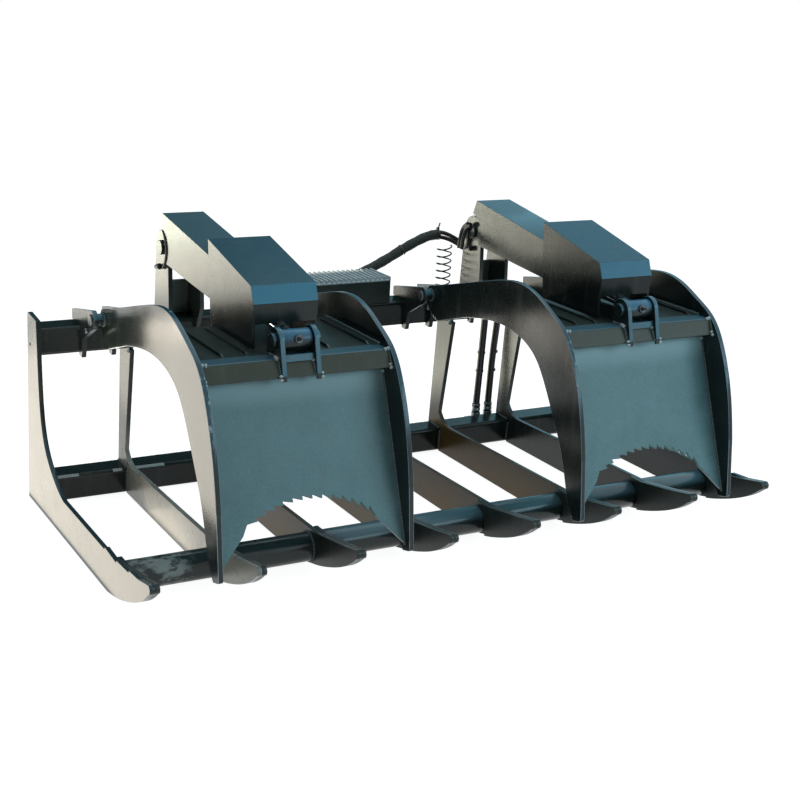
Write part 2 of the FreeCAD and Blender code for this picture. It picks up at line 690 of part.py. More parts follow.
# ---------------------------------------------------------------- cylinder
def on_axis(distance, across=0.0):
    """A side-profile point on the cylinder's axis, DISTANCE from the base pin."""
    return along(BASE_PIN, ROD_PIN, distance, across)


def pin_to_pin():
    """Length of the cylinder with the clamp closed."""
    return math.dist(BASE_PIN, ROD_PIN)


def barrel():
    """The barrel with its base cap and base eye."""
    tube = rod_between(on_axis(BARREL_START), on_axis(BARREL_END), BARREL_RADIUS)
    neck = rod_between(on_axis(NECK_START), on_axis(BARREL_START + BASE_CAP / 2), NECK_RADIUS)
    play = BASE_PIN_RADIUS + OPEN_PIVOT_PLAY
    centre = on_axis(*OPEN_PIVOT_SHIFT)
    eye = cross_rod(centre, play + BASE_EYE_WALL, -BASE_EYE_HALF, BASE_EYE_HALF)
    body = tube.fuse([neck, eye])
    for station in (BARREL_START + REAR_PORT, BARREL_END - FRONT_PORT):
        top = on_axis(station, BARREL_RADIUS + PORT_HEIGHT)
        body = body.fuse(rod_between(on_axis(station), top, PORT_RADIUS))
    body = body.cut(cross_rod(centre, play, -BASE_EYE_HALF, BASE_EYE_HALF))
    bore = rod_between(on_axis(BARREL_START + BASE_CAP), on_axis(BARREL_END), BORE_RADIUS)
    return body.cut(bore).removeSplitter()


def gland():
    """The gland ring that closes the barrel round the rod."""
    ring = rod_between(on_axis(BARREL_END - GLAND), on_axis(BARREL_END), BORE_RADIUS - PISTON_FIT)
    return ring.cut(rod_between(on_axis(BARREL_END - GLAND), on_axis(BARREL_END), ROD_RADIUS + ROD_FIT))


def rod():
    """The chromed rod with its cross-tube eye."""
    start = BARREL_END - GLAND - PISTON_GAP - PISTON
    bar = rod_between(on_axis(start), on_axis(pin_to_pin() - ROD_EYE_WELD), ROD_RADIUS)
    eye = cross_rod(ROD_PIN, ROD_EYE_RADIUS, -ROD_EYE_HALF, ROD_EYE_HALF)
    return bar.fuse(eye).cut(cross_rod(ROD_PIN, ROD_PIN_RADIUS + PIN_FIT, -ROD_EYE_HALF, ROD_EYE_HALF))


def piston():
    """The piston on the inner end of the rod."""
    start = BARREL_END - GLAND - PISTON_GAP - PISTON
    disc = rod_between(on_axis(start), on_axis(start + PISTON), BORE_RADIUS - PISTON_FIT)
    return disc.cut(rod_between(on_axis(start), on_axis(start + PISTON), ROD_RADIUS))


def folded_guard(profile, inside, top_edges):
    """A guard bent from one plate: two equal sides and the strips that TOP_EDGES name."""
    sides = [side_plate(profile, x, GUARD) for x in (-inside - GUARD, inside)]
    guard = sides[0].fuse(sides[1])
    for start, end in top_edges:
        inner_start = along(start, end, 0.0, -GUARD)
        inner_end = along(start, end, math.dist(start, end), -GUARD)
        strip = side_plate([start, end, inner_end, inner_start], -inside - GUARD, 2 * (inside + GUARD))
        guard = guard.fuse(strip)
    return guard.removeSplitter()


def rear_guard():
    """The guard that rides on the barrel, cut round the tower's head."""
    profile = [
        REAR_GUARD_REAR_TOP,
        REAR_GUARD_TOP_REAR,
        REAR_GUARD_TOP_FRONT,
        REAR_GUARD_NOSE,
        REAR_GUARD_FOOT_FRONT,
        REAR_GUARD_FOOT_MID,
        REAR_GUARD_FOOT_REAR,
        BASE_PIN,
    ]
    top = [(REAR_GUARD_TOP_REAR, REAR_GUARD_TOP_FRONT)]
    guard = folded_guard(profile, REAR_GUARD_INSIDE, top)
    reach = REAR_GUARD_INSIDE + GUARD + 1
    guard = guard.cut(cross_rod(BASE_PIN, HEAD_CUTOUT_RADIUS, -reach, reach))
    barrel_line = rod_between(on_axis(BARREL_START), on_axis(BARREL_END), BARREL_RADIUS + TOUCH_GAP)
    for station in SADDLE_STATIONS:
        near = on_axis(station, 0.0)
        far = on_axis(station + SADDLE, 0.0)
        start = station - SADDLE_SHIFT
        near_top = along(REAR_GUARD_TOP_REAR, REAR_GUARD_TOP_FRONT, start, -GUARD * 0.5)
        far_top = along(REAR_GUARD_TOP_REAR, REAR_GUARD_TOP_FRONT, start + SADDLE, -GUARD * 0.5)
        plate = side_plate([near, near_top, far_top, far], -REAR_GUARD_INSIDE, 2 * REAR_GUARD_INSIDE)
        guard = guard.fuse(plate.cut(barrel_line))
    return guard.removeSplitter()


def front_guard():
    """The wider guard that rides on the rod, with its lip and the tab that saddles the rod."""
    profile = [
        FRONT_GUARD_FOOT_REAR,
        FRONT_GUARD_TOP_REAR,
        FRONT_GUARD_TOP_FRONT,
        FRONT_GUARD_LIP,
        FRONT_GUARD_CHIN,
        FRONT_GUARD_FOOT_FRONT,
    ]
    top = [
        (FRONT_GUARD_TOP_REAR, FRONT_GUARD_TOP_FRONT),
        (FRONT_GUARD_TOP_FRONT, FRONT_GUARD_LIP),
        (FRONT_GUARD_LIP, FRONT_GUARD_CHIN),
    ]
    guard = folded_guard(profile, FRONT_GUARD_INSIDE, top)
    length = FRONT_GUARD_LIP[1] - ROD_PIN[1]
    low = along(FRONT_GUARD_LIP, FRONT_GUARD_CHIN, length)
    low_back = along(FRONT_GUARD_LIP, FRONT_GUARD_CHIN, length, -GUARD)
    high_back = along(FRONT_GUARD_LIP, FRONT_GUARD_CHIN, GUARD, -GUARD)
    high = along(FRONT_GUARD_LIP, FRONT_GUARD_CHIN, GUARD)
    tab = side_plate([high, low, low_back, high_back], -ROD_TAB_HALF, 2 * ROD_TAB_HALF)
    tab = tab.cut(rod_between(on_axis(BARREL_END), ROD_PIN, ROD_RADIUS + TOUCH_GAP))
    return guard.fuse(tab).removeSplitter()


# ---------------------------------------------------------------- step
def step_box():
    """The sheet box under the step, open at the bottom, on the top tube."""
    top = STEP_TOP - GRATING
    tube_top = TOP_TUBE_HEIGHT + TUBE
    rear = leaned(0, tube_top)
    slope = math.tan(SLOPE)
    front_foot = rear[1] - (STEP_FRONT - rear[0]) * slope
    profile = [
        (STEP_FRONT, front_foot),
        (STEP_FRONT, top),
        (STEP_REAR, top),
        (STEP_REAR, top - STEP_REAR_SKIRT),
        rear,
    ]
    box = side_plate(profile, -STEP_HALF, 2 * STEP_HALF)
    front = STEP_FRONT - STEP_SHEET
    back = STEP_REAR + STEP_SHEET
    inner = [(front, 0.0), (front, top), (back, top), (back, 0.0)]
    return box.cut(side_plate(inner, -STEP_HALF + STEP_SHEET, 2 * (STEP_HALF - STEP_SHEET)))


def step_grating():
    """The tread: upright bars on a thin base, all in one section."""
    low = STEP_TOP - GRATING
    spacing = (2 * STEP_HALF - GRATING_BAR) / (GRATING_BARS - 1)
    points = [(-STEP_HALF, low), (-STEP_HALF, low + GRATING_BASE)]
    for i in range(GRATING_BARS):
        x = -STEP_HALF + i * spacing
        points += [(x, low + GRATING_BASE), (x, STEP_TOP)]
        points += [(x + GRATING_BAR, STEP_TOP), (x + GRATING_BAR, low + GRATING_BASE)]
    points += [(STEP_HALF, low)]
    clean = [points[0]]
    for point in points[1:]:
        if math.dist(point, clean[-1]) > 1e-6:
            clean.append(point)
    wire = Part.makePolygon([Vector(x, -STEP_FRONT, z) for x, z in clean + clean[:1]])
    return Part.Face(wire).extrude(Vector(0, STEP_FRONT - STEP_REAR, 0))


# ---------------------------------------------------------------- attachment rails
def hook_rail():
    """The upper rail: a leg on the top tube's rear face and a lip turned down behind it."""
    top = HOOK_LEG_TOP
    tilt = math.radians(HOOK_ANGLE)
    tip = (-RAIL / math.cos(SLOPE) - HOOK_LIP * math.cos(tilt), top - HOOK_LIP * math.sin(tilt))
    root = leaned(0, top)
    lip = [
        root,
        (root[0] + tip[0], tip[1]),
        (root[0] + tip[0] + RAIL * math.sin(tilt), tip[1] - RAIL * math.cos(tilt)),
        leaned(-RAIL, top - HOOK_THROAT),
        leaned(-RAIL, top - HOOK_LEG),
        leaned(0, top - HOOK_LEG),
    ]
    return side_plate(lip, -RAIL_HALF, 2 * RAIL_HALF)


def wedge_rail():
    """The lower rail: a leg on the lower tube's rear face and a flange with two wedge slots."""
    steps = [
        leaned(0, WEDGE_LEG_TOP),
        leaned(-RAIL, WEDGE_LEG_TOP),
        leaned(-RAIL, WEDGE_FLANGE_HEIGHT + RAIL),
        (-WEDGE_FLANGE, WEDGE_FLANGE_HEIGHT + RAIL),
        (-WEDGE_FLANGE, WEDGE_FLANGE_HEIGHT),
        leaned(0, WEDGE_FLANGE_HEIGHT),
    ]
    rail = side_plate(steps, -RAIL_HALF, 2 * RAIL_HALF)
    y = WEDGE_FLANGE - WEDGE_SLOT_FROM_EDGE
    straight = WEDGE_SLOT_LENGTH - WEDGE_SLOT_WIDTH
    radius = WEDGE_SLOT_WIDTH / 2
    deep = WEDGE_FLANGE_HEIGHT + 2 * RAIL
    for side in (-1, 1):
        centre = side * (RAIL_HALF - WEDGE_SLOT_INSET)
        ends = [Vector(centre + end * straight / 2, y, 0) for end in (-1, 1)]
        slot = Part.makeBox(straight, WEDGE_SLOT_WIDTH, deep, ends[0] - Vector(0, radius, 0))
        slot = slot.fuse([Part.makeCylinder(radius, deep, end) for end in ends])
        rail = rail.cut(slot)
    return rail.removeSplitter()


# ---------------------------------------------------------------- hoses
def tube_path(points, name):
    """Straight runs joined by tangent arcs as large as the runs allow; prints the radii."""
    runs = [points[i + 1] - points[i] for i in range(len(points) - 1)]
    edges = []
    here = points[0]
    radii = []
    for i in range(1, len(points) - 1):
        before = runs[i - 1]
        after = runs[i]
        turn = before.getAngle(after)
        cut = 0.45 * min(before.Length, after.Length)
        radii.append(cut / math.tan(turn / 2))
        start = points[i] - Vector(before).normalize() * cut
        end = points[i] + Vector(after).normalize() * cut
        middle = points[i] + ((start + end) * 0.5 - points[i]).normalize() * (
            radii[-1] / math.cos(turn / 2) - radii[-1])
        edges.append(Part.LineSegment(here, start).toShape())
        edges.append(Part.Arc(start, middle, end).toShape())
        here = end
    edges.append(Part.LineSegment(here, points[-1]).toShape())
    print(name, "bend radii", [round(r) for r in radii])
    return Part.Wire(edges)


def hose(points, radius, name):
    """A hose along its route."""
    path = tube_path(points, name)
    direction = points[1] - points[0]
    ring = Part.Wire(Part.makeCircle(radius, points[0], direction))
    solid = path.makePipeShell([ring], True, False)
    share = solid.Volume / (math.pi * radius * radius * path.Length)
    print(name, "volume over section times length", round(share, 4))
    return solid


def supply_hoses():
    """The two hoses that hang from the junctions to the couplers."""
    hoses = []
    for number, route in enumerate(SUPPLY_ROUTES):
        drop = SUPPLY_FOOT - SUPPLY_TOP
        points = [Vector(RAIL_HALF + x, -HOSE_REACH, SUPPLY_TOP + share * drop) for x, share in route]
        hoses.append(hose(points, HOSE_RADIUS, "supply hose %d" % number))
    return hoses


def junctions():
    """The two junction blocks behind the top tube, over the supply hoses."""
    blocks = []
    front = leaned(0, SUPPLY_TOP + JUNCTION)[0]
    depth = front - HOSE_REACH + HOSE_RADIUS + JUNCTION_COVER
    for route in SUPPLY_ROUTES:
        left = RAIL_HALF + route[0][0] - JUNCTION / 2
        body = Part.makeBox(JUNCTION, depth, JUNCTION, Vector(left, -front, SUPPLY_TOP))
        blocks.append(body.cut(square_tube(TOP_TUBE_HEIGHT, WIDTH / 2 - PLATE)))
    return [max(b.Solids, key=lambda s: s.Volume) for b in blocks]


def couplers():
    """The two quick couplers at the foot of the supply hoses."""
    pieces = []
    for route in SUPPLY_ROUTES:
        middle = Vector(RAIL_HALF + route[-1][0], -HOSE_REACH, SUPPLY_FOOT - COUPLER_LENGTH)
        body = Part.makeCylinder(COUPLER_RADIUS, COUPLER_LENGTH, middle)
        nose = Part.makeCylinder(COUPLER_NOSE_RADIUS, COUPLER_NOSE, middle, Vector(0, 0, -1))
        pieces.append(body.fuse(nose).removeSplitter())
    return pieces


def coupler_bracket():
    """The plate on the lower tube's rear face that holds both couplers."""
    low = RAIL_HALF + SUPPLY_ROUTES[0][-1][0] - COUPLER_RADIUS - BRACKET_MARGIN
    high = RAIL_HALF + SUPPLY_ROUTES[1][-1][0] + COUPLER_RADIUS + BRACKET_MARGIN
    front = leaned(0, BRACKET_HEIGHT)[0]
    depth = front - HOSE_REACH + COUPLER_RADIUS + BRACKET_MARGIN
    plate = Part.makeBox(high - low, depth, BRACKET, Vector(low, -front, BRACKET_HEIGHT))
    for route in SUPPLY_ROUTES:
        centre = Vector(RAIL_HALF + route[-1][0], -HOSE_REACH, BRACKET_HEIGHT)
        plate = plate.cut(Part.makeCylinder(COUPLER_RADIUS + TOUCH_GAP, BRACKET, centre))
    return plate


def spring():
    """The upright coil spring on the top tube that carries the sleeve."""
    low = leaned(0, TOP_TUBE_HEIGHT + TUBE)[1] + TOUCH_GAP
    high = sleeve_underside()
    height = high - low - 2 * SPRING_WIRE_RADIUS
    rise = height / (2 * SPRING_TURNS)
    halves = []
    for i in range(2 * SPRING_TURNS):
        side = 1 if i % 2 == 0 else -1
        start = Vector(side * SPRING_COIL_RADIUS, 0, i * rise)
        wire = Part.Face(Part.Wire(Part.makeCircle(SPRING_WIRE_RADIUS, start, Vector(0, 1, 0))))
        axis = Vector(side * rise, 0, 2 * SPRING_COIL_RADIUS)
        halves.append(wire.revolve(Vector(0, 0, (i + 0.5) * rise), axis, 180))
    coil = halves[0].fuse(halves[1:])
    coil.translate(Vector(SPRING_X, -SPRING_REACH, low + SPRING_WIRE_RADIUS))
    return coil


def spring_seat():
    """The small plate welded to the top tube's rear face, under the spring."""
    rear = leaned(0, TOP_TUBE_HEIGHT + TUBE)
    half = SPRING_COIL_RADIUS + SPRING_WIRE_RADIUS
    low = rear[1] - SPRING_SEAT
    steps = [
        (SPRING_REACH - half, rear[1]),
        (SPRING_REACH - half, low),
        leaned(0, TOP_TUBE_HEIGHT + TUBE - TUBE_CORNER - SPRING_SEAT),
        leaned(0, TOP_TUBE_HEIGHT + TUBE - TUBE_CORNER),
        (rear[0] - SPRING_SEAT_EDGE, rear[1]),
    ]
    return side_plate(steps, SPRING_X - half, 2 * half)


def sleeve_underside():
    """Height of the sleeve's underside over the spring."""
    before = SLEEVE_ROUTE[3]
    return before[2] - SLEEVE_RADIUS - SPRING_TOP_GAP


def sleeve():
    """The sleeved hose bundle from the step to the right-hand tower."""
    points = [Vector(x, -reach, z) for x, reach, z in SLEEVE_ROUTE]
    return hose(points, SLEEVE_RADIUS, "sleeve")


# ---------------------------------------------------------------- all nodes
def build_bucket():
    """Everything fixed to the bucket's frame."""
    lefts = tine_lefts()
    inner_half = WIDTH / 2 - PLATE
    save("end_plate_left", end_plate(lefts[0]))
    save("end_plate_right", end_plate(lefts[-1]))
    for number in range(1, TINE_COUNT - 1):
        save("tine_%d" % number, tine(lefts[number]))
    cheeks = [nose_cheek(x + PLATE if x < 0 else x - CHEEK) for x in lefts]
    save("nose_cheeks", cheeks)
    save("top_tube", square_tube(TOP_TUBE_HEIGHT, inner_half))
    save("lower_tube", square_tube(LOWER_TUBE_HEIGHT, inner_half))
    pipe = cross_rod((PIPE_REACH, PIPE_HEIGHT), PIPE_RADIUS, -inner_half, inner_half)
    bore = cross_rod((PIPE_REACH, PIPE_HEIGHT), PIPE_RADIUS - PIPE_WALL, -inner_half, inner_half)
    save("front_pipe", pipe.cut(bore))

    ears = []
    pins = []
    bolts = []
    for name, side in SIDES:
        centre = side * CLAMP_X
        for end in (-1, 1):
            for low in ear_lefts():
                x_low = centre + (low if end > 0 else -low - PLATE)
                ears.append(hinge_ear(x_low))
                face = x_low if side < 0 else x_low + PLATE
                bolts.append(keeper_bolt(face, side))
            pin = hinge_pin(end)
            pin = pin if end > 0 else mirrored(pin)
            pins.append(moved(pin, centre))
    save("hinge_ears", ears)
    save("hinge_pins", pins)
    save("keeper_bolts", bolts)

    for name, side in SIDES:
        centre = side * CLAMP_X
        plates = [tower_plate(centre - TOWER_INSIDE - PLATE), tower_plate(centre + TOWER_INSIDE)]
        save("tower_plates_" + name, plates)
        save("tower_back_" + name, tower_back(centre))
    save("base_pins", [base_pin(side * CLAMP_X) for name, side in SIDES])

    save("step_box", step_box())
    save("step_grating", step_grating())
    save("hook_rail", hook_rail())
    save("wedge_rail", wedge_rail())
    save("supply_hoses", supply_hoses())
    save("hose_junctions", junctions())
    save("hose_couplers", couplers())
    save("hose_brackets", [coupler_bracket(), spring_seat()])
    save("hose_sleeve", sleeve())
    save("hose_spring", spring())


def moved(shape, x):
    """A copy of a piece, moved across the bucket."""
    copy = shape.copy()
    copy.translate(Vector(x, 0, 0))
    return copy


def build_clamp(name, side):
    """One clamp, all its pieces in the clamp's own body."""
    centre = side * CLAMP_X
    save("arch_outer_" + name, arch(centre + (ARCH_INSIDE if side > 0 else -ARCH_INSIDE - PLATE)))
    save("arch_inner_" + name, arch(centre + (-ARCH_INSIDE - PLATE if side > 0 else ARCH_INSIDE)))
    bosses = []
    outer = ARCH_INSIDE + PLATE
    for end in (-1, 1):
        for low, length in ((outer, OUTER_BOSS), (ARCH_INSIDE - INNER_BOSS + BOSS_GAP, INNER_BOSS)):
            boss = hinge_boss(low, length - BOSS_GAP)
            bosses.append(moved(boss if end > 0 else mirrored(boss), centre))
    save("hinge_bosses_" + name, bosses)
    save("panel_" + name, moved(panel(), centre))
    save("crossbar_" + name, moved(crossbar(), centre))
    save("deck_" + name, moved(deck(), centre))
    save("deck_ribs_" + name, [moved(deck_rib(offset), centre) for offset in RIB_OFFSETS])
    clevis = [clevis_ear(-CLEVIS_INSIDE - PLATE), clevis_ear(CLEVIS_INSIDE), clevis_bridge()]
    save("clevis_" + name, [moved(piece, centre) for piece in clevis])
    save("rod_pin_" + name, moved(rod_pin(), centre))


def build_cylinder(name, side):
    """One cylinder with its two guards."""
    centre = side * CLAMP_X
    save("barrel_" + name, moved(barrel(), centre))
    save("gland_" + name, moved(gland(), centre))
    save("rear_guard_" + name, moved(rear_guard(), centre))
    save("rod_" + name, moved(rod(), centre))
    save("piston_" + name, moved(piston(), centre))
    save("front_guard_" + name, moved(front_guard(), centre))


def main():
    """Builds every node."""
    os.makedirs("parts", exist_ok=True)
    build_bucket()
    for name, side in SIDES:
        build_clamp(name, side)
        build_cylinder(name, side)


main()
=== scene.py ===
import logging
import math
from collections.abc import Iterable
from dataclasses import dataclass
from enum import Enum

import bmesh
import bpy
from mathutils import Matrix, Vector


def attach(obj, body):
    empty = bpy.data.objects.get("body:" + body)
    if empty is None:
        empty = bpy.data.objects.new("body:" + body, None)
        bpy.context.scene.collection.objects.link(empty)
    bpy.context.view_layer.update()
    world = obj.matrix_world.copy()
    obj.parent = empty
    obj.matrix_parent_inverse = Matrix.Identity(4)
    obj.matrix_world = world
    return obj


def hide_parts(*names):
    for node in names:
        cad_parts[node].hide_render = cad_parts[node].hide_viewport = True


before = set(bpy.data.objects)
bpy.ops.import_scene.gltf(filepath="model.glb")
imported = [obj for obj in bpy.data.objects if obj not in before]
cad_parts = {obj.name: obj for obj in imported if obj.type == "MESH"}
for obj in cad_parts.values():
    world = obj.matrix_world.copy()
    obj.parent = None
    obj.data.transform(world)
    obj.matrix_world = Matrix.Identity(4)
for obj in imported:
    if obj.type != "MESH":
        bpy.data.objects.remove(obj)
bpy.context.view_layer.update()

logging.basicConfig(level=logging.INFO, format="%(name)s: %(message)s")
log = logging.getLogger("root_grapple")

Pair = tuple[float, float]
Point = tuple[float, float, float]
Profile = tuple[Pair, ...]
Path = list[Vector]
Tree = bpy.types.NodeTree
Socket = bpy.types.NodeSocket

MM = 0.001
MIDDLE_REACH = 481.594
LEAN = math.radians(3.4657)
SIDES = (("left", -1), ("right", 1))
BOTH = (-1, 1)
UP = Vector((0, 0, 1))
# middle of a clamp across, then its pins as reach and height, all in millimetres
CLAMP_X = 503.25
HINGE_PIN = (203.0, 549.0)
ROD_PIN = (848.0, 634.0)
BASE_PIN = (95.0, 712.0)
UV_NAME = "length_and_girth"
SAME_SPOT = 0.00001
# how far a noise moves a roughness down and up
UNEVEN = (-0.06, 0.1)


def place(x: float, reach: float, height: float) -> Vector:
    """A point in metres in the frame's axes.

    Args:
        x: Millimetres to the right of the middle.
        reach: Millimetres forward of the rear bottom corner of the tines.
        height: Millimetres above the ground.

    Returns:
        The point.
    """
    return Vector((x * MM, (MIDDLE_REACH - reach) * MM, height * MM))


def leaned(depth: float, up: float) -> Pair:
    """Reach and height of a point given square to the leaning back.

    Args:
        depth: Millimetres forward of the back.
        up: Millimetres up along it.

    Returns:
        The reach and the height in millimetres.
    """
    return (
        depth * math.cos(LEAN) + up * math.sin(LEAN),
        up * math.cos(LEAN) - depth * math.sin(LEAN),
    )


def path(x: float, *spots: Pair) -> Path:
    """A path at one distance across, through spots given as reach and height."""
    return [place(x, *spot) for spot in spots]


def circle(steps: int) -> list[float]:
    """Equal turns round a circle, in radians."""
    return [2 * math.pi * i / steps for i in range(steps)]


def ring(centre: Vector, radius: float, steps: int = 20) -> Path:
    """A closed round path about the X axis, in metres."""
    turns = [*circle(steps), 2 * math.pi]
    return [centre + Vector((0, radius * math.cos(t), radius * math.sin(t))) for t in turns]


def per_metre(size_mm: float) -> float:
    """Scale of a pattern whose details have a size in millimetres."""
    return 1000 / size_mm


def linear(code: str) -> tuple[float, float, float, float]:
    """Turns an sRGB hex colour such as "#3c5a5e" to linear RGBA.

    Args:
        code: The colour as it looks, with a leading #.

    Returns:
        Linear red, green, blue and an alpha of 1.
    """
    values = [int(code[i:i + 2], 16) / 255 for i in (1, 3, 5)]
    low = [v / 12.92 if v <= 0.04045 else ((v + 0.055) / 1.055) ** 2.4 for v in values]
    return (low[0], low[1], low[2], 1.0)


def node(tree: Tree, kind: str, inputs: dict | None = None, **settings: object) -> bpy.types.Node:
    """Adds a node with its settings and links.

    Args:
        tree: The tree that gets the node.
        kind: The node's type name.
        inputs: Input (name or number) to the socket that feeds it, a value or an sRGB hex colour.
        **settings: Properties of the node itself.

    Returns:
        The new node.
    """
    made = tree.nodes.new(kind)
    for name, value in settings.items():
        setattr(made, name, value)
    for name, value in (inputs or {}).items():
        if isinstance(value, Socket):
            tree.links.new(value, made.inputs[name])
        else:
            made.inputs[name].default_value = linear(value) if isinstance(value, str) else value
    return made


def spans(value: Socket, limits: Pair, ends: Pair = (0.0, 1.0)) -> dict[str, object]:
    """Inputs that carry a value from between two limits to between two ends."""
    return {"Value": value, "From Min": limits[0], "From Max": limits[1],
            "To Min": ends[0], "To Max": ends[1]}


class Read(Enum):
    """What a ramp reads: the place on the object, or the way a face looks."""

    PLACE = "Object"
    FACING = "Normal"


@dataclass(frozen=True)
class Ramp:
    """A share that follows one part of a vector from one limit to another."""

    source: Read
    part: str
    limits: Pair
    ends: Pair = (0.0, 1.0)
    smooth: bool = False
    unsigned: bool = False

    def share(self, tree: Tree, coords: bpy.types.Node) -> Socket:
        """The share, as a socket.

        Args:
            tree: The material's tree.
            coords: Its Texture Coordinate node.

        Returns:
            The socket that gives it.
        """
        vector = coords.outputs[self.source.value]
        value = node(tree, "ShaderNodeSeparateXYZ", {0: vector}).outputs[self.part]
        if self.unsigned:
            value = node(tree, "ShaderNodeMath", {0: value}, operation="ABSOLUTE").outputs[0]
        way = "SMOOTHSTEP" if self.smooth else "LINEAR"
        made = node(tree, "ShaderNodeMapRange", spans(value, self.limits, self.ends),
                    interpolation_type=way)
        return made.outputs["Result"]


@dataclass(frozen=True)
class Patch:
    """A share in blotches of a real size, which a squeeze below 1 draws out along an axis."""

    size_mm: float
    detail: float
    limits: Pair = (0.0, 1.0)
    ends: Pair = (0.0, 1.0)
    roughness: float = 0.5
    squeeze: Point | None = None

    def share(self, tree: Tree, coords: bpy.types.Node) -> Socket:
        """The share, as a socket.

        Args:
            tree: The material's tree.
            coords: Its Texture Coordinate node.

        Returns:
            The socket that gives it.
        """
        where = coords.outputs["Object"]
        if self.squeeze:
            drawn = node(tree, "ShaderNodeMapping", {"Vector": where, "Scale": self.squeeze})
            where = drawn.outputs["Vector"]
        blotch = node(tree, "ShaderNodeTexNoise", {
            "Vector": where, "Scale": per_metre(self.size_mm), "Detail": self.detail,
            "Roughness": self.roughness})
        made = node(tree, "ShaderNodeMapRange",
                    spans(blotch.outputs["Fac"], self.limits, self.ends))
        return made.outputs["Result"]


@dataclass(frozen=True)
class Layer:
    """A colour laid over a coat, where the product of its shares says."""

    colour: str
    shares: tuple[Ramp | Patch, ...]

    def over(self, tree: Tree, coords: bpy.types.Node, below: Socket | str) -> Socket:
        """Lays the colour.

        Args:
            tree: The material's tree.
            coords: Its Texture Coordinate node.
            below: The colour underneath.

        Returns:
            The mixed colour.
        """
        share = self.shares[0].share(tree, coords)
        for other in self.shares[1:]:
            share = node(tree, "ShaderNodeMath", {0: share, 1: other.share(tree, coords)},
                         operation="MULTIPLY", use_clamp=True).outputs[0]
        mixed = node(tree, "ShaderNodeMix", {0: share, 6: below, 7: self.colour},
                     data_type="RGBA")
        return mixed.outputs[2]


@dataclass(frozen=True)
class Surface:
    """What all finishes share: a name, and a closure that fills the material."""

    name: str

    def shader(self, tree: Tree) -> Socket:
        """The finish's closure, which each finish gives."""
        raise NotImplementedError(self.name)

    def embossed(self, tree: Tree, colour: Socket, height: Socket, bump: Pair,
                 roughness: Socket | float, **more: float) -> Socket:
        """A Principled closure with a bump.

        Args:
            tree: The material's tree.
            colour: The base colour.
            height: What the bump follows.
            bump: The bump's strength, and its depth in metres.
            roughness: The roughness.
            **more: Further inputs, with underscores for spaces.

        Returns:
            The closure.
        """
        relief = node(tree, "ShaderNodeBump",
                      {"Height": height, "Strength": bump[0], "Distance": bump[1]})
        inputs = {"Base Color": colour, "Normal": relief.outputs["Normal"],
                  "Roughness": roughness}
        inputs.update({name.replace("_", " "): value for name, value in more.items()})
        return node(tree, "ShaderNodeBsdfPrincipled", inputs).outputs["BSDF"]

    def uneven(self, tree: Tree, cloud: Socket, roughness: float) -> Socket:
        """A roughness that a noise moves a little down and a little more up."""
        ends = (roughness + UNEVEN[0], roughness + UNEVEN[1])
        return node(tree, "ShaderNodeMapRange", spans(cloud, (0.0, 1.0), ends)).outputs["Result"]

    def make(self) -> bpy.types.Material:
        """Builds the material.

        Returns:
            The material, with the closure on its surface.
        """
        mat = bpy.data.materials.new(self.name)
        mat.use_nodes = True
        tree = mat.node_tree
        tree.nodes.clear()
        node(tree, "ShaderNodeOutputMaterial", {"Surface": self.shader(tree)})
        return mat


# faint streaks that rain leaves, about 34 mm apart and drawn out downwards
RAIN = Layer("#6f7269", (Patch(34.0, 3.0, (0.55, 0.8), (0.0, 0.22), squeeze=(1.0, 1.0, 0.12)),))
CLOUD_MM = 90.0
CLOUD_DETAIL = 4.0
CLOUD_ROUGHNESS = 0.6
# the same clouds, to make the painted ground reflection and the painted pale light uneven
CLOUDY = Patch(CLOUD_MM, CLOUD_DETAIL, ends=(0.5, 1.5), roughness=CLOUD_ROUGHNESS)
# painted brown reflection of the ground on low faces, strongest at the bottom, fading out towards
# the tine tips
PAINTED_GROUND_REFLECTION = Layer("#86662a", (Ramp(Read.PLACE, "Z", (0.03, 0.16), (0.8, 0.0)), CLOUDY,
                              Ramp(Read.PLACE, "Y", (-0.27, -0.21))))
# painted pale light on low faces, strongest at the bottom
PAINTED_PALE_LIGHT = Layer("#d6d2c4", (Ramp(Read.PLACE, "Z", (0.03, 0.22), (0.95, 0.0)), CLOUDY))
# painted sky reflection on steep faces that still look up a little
STEEP = (Ramp(Read.FACING, "Z", (0.55, 0.75), (1.0, 0.0), smooth=True),
         Ramp(Read.FACING, "Z", (0.04, 0.14), smooth=True))
# painted light along the top of the broad faces, above the teeth, where the crossbar shades them
PAINTED_TOP_LIGHT = Layer("#aac3c6", (Ramp(Read.PLACE, "Z", (0.47, 0.53), (0.0, 0.75), smooth=True),))
# painted highlight on the slanting edge between a plate's face and its rim
PAINTED_EDGE_HIGHLIGHT = Layer("#a9c4cf", (Ramp(Read.FACING, "X", (0.2, 0.4), unsigned=True),
                                Ramp(Read.FACING, "X", (0.9, 0.98), (1.0, 0.0), unsigned=True)))
# bright patches about 22 mm wide beside the left end plate, and the stretch on the left with little
# painted sky reflection
PALE_PATCHES = Layer("#a3aca8", (Ramp(Read.PLACE, "X", (-0.75, -0.71), (1.0, 0.0)),
                           Patch(22.0, 5.0, (0.45, 0.57), roughness=0.65,
                                 squeeze=(0.45, 1.0, 1.0))))
LESS_SHEEN_LEFT = Ramp(Read.PLACE, "X", (-0.41, -0.31), (0.15, 1.0))
SHARP = 0.0001


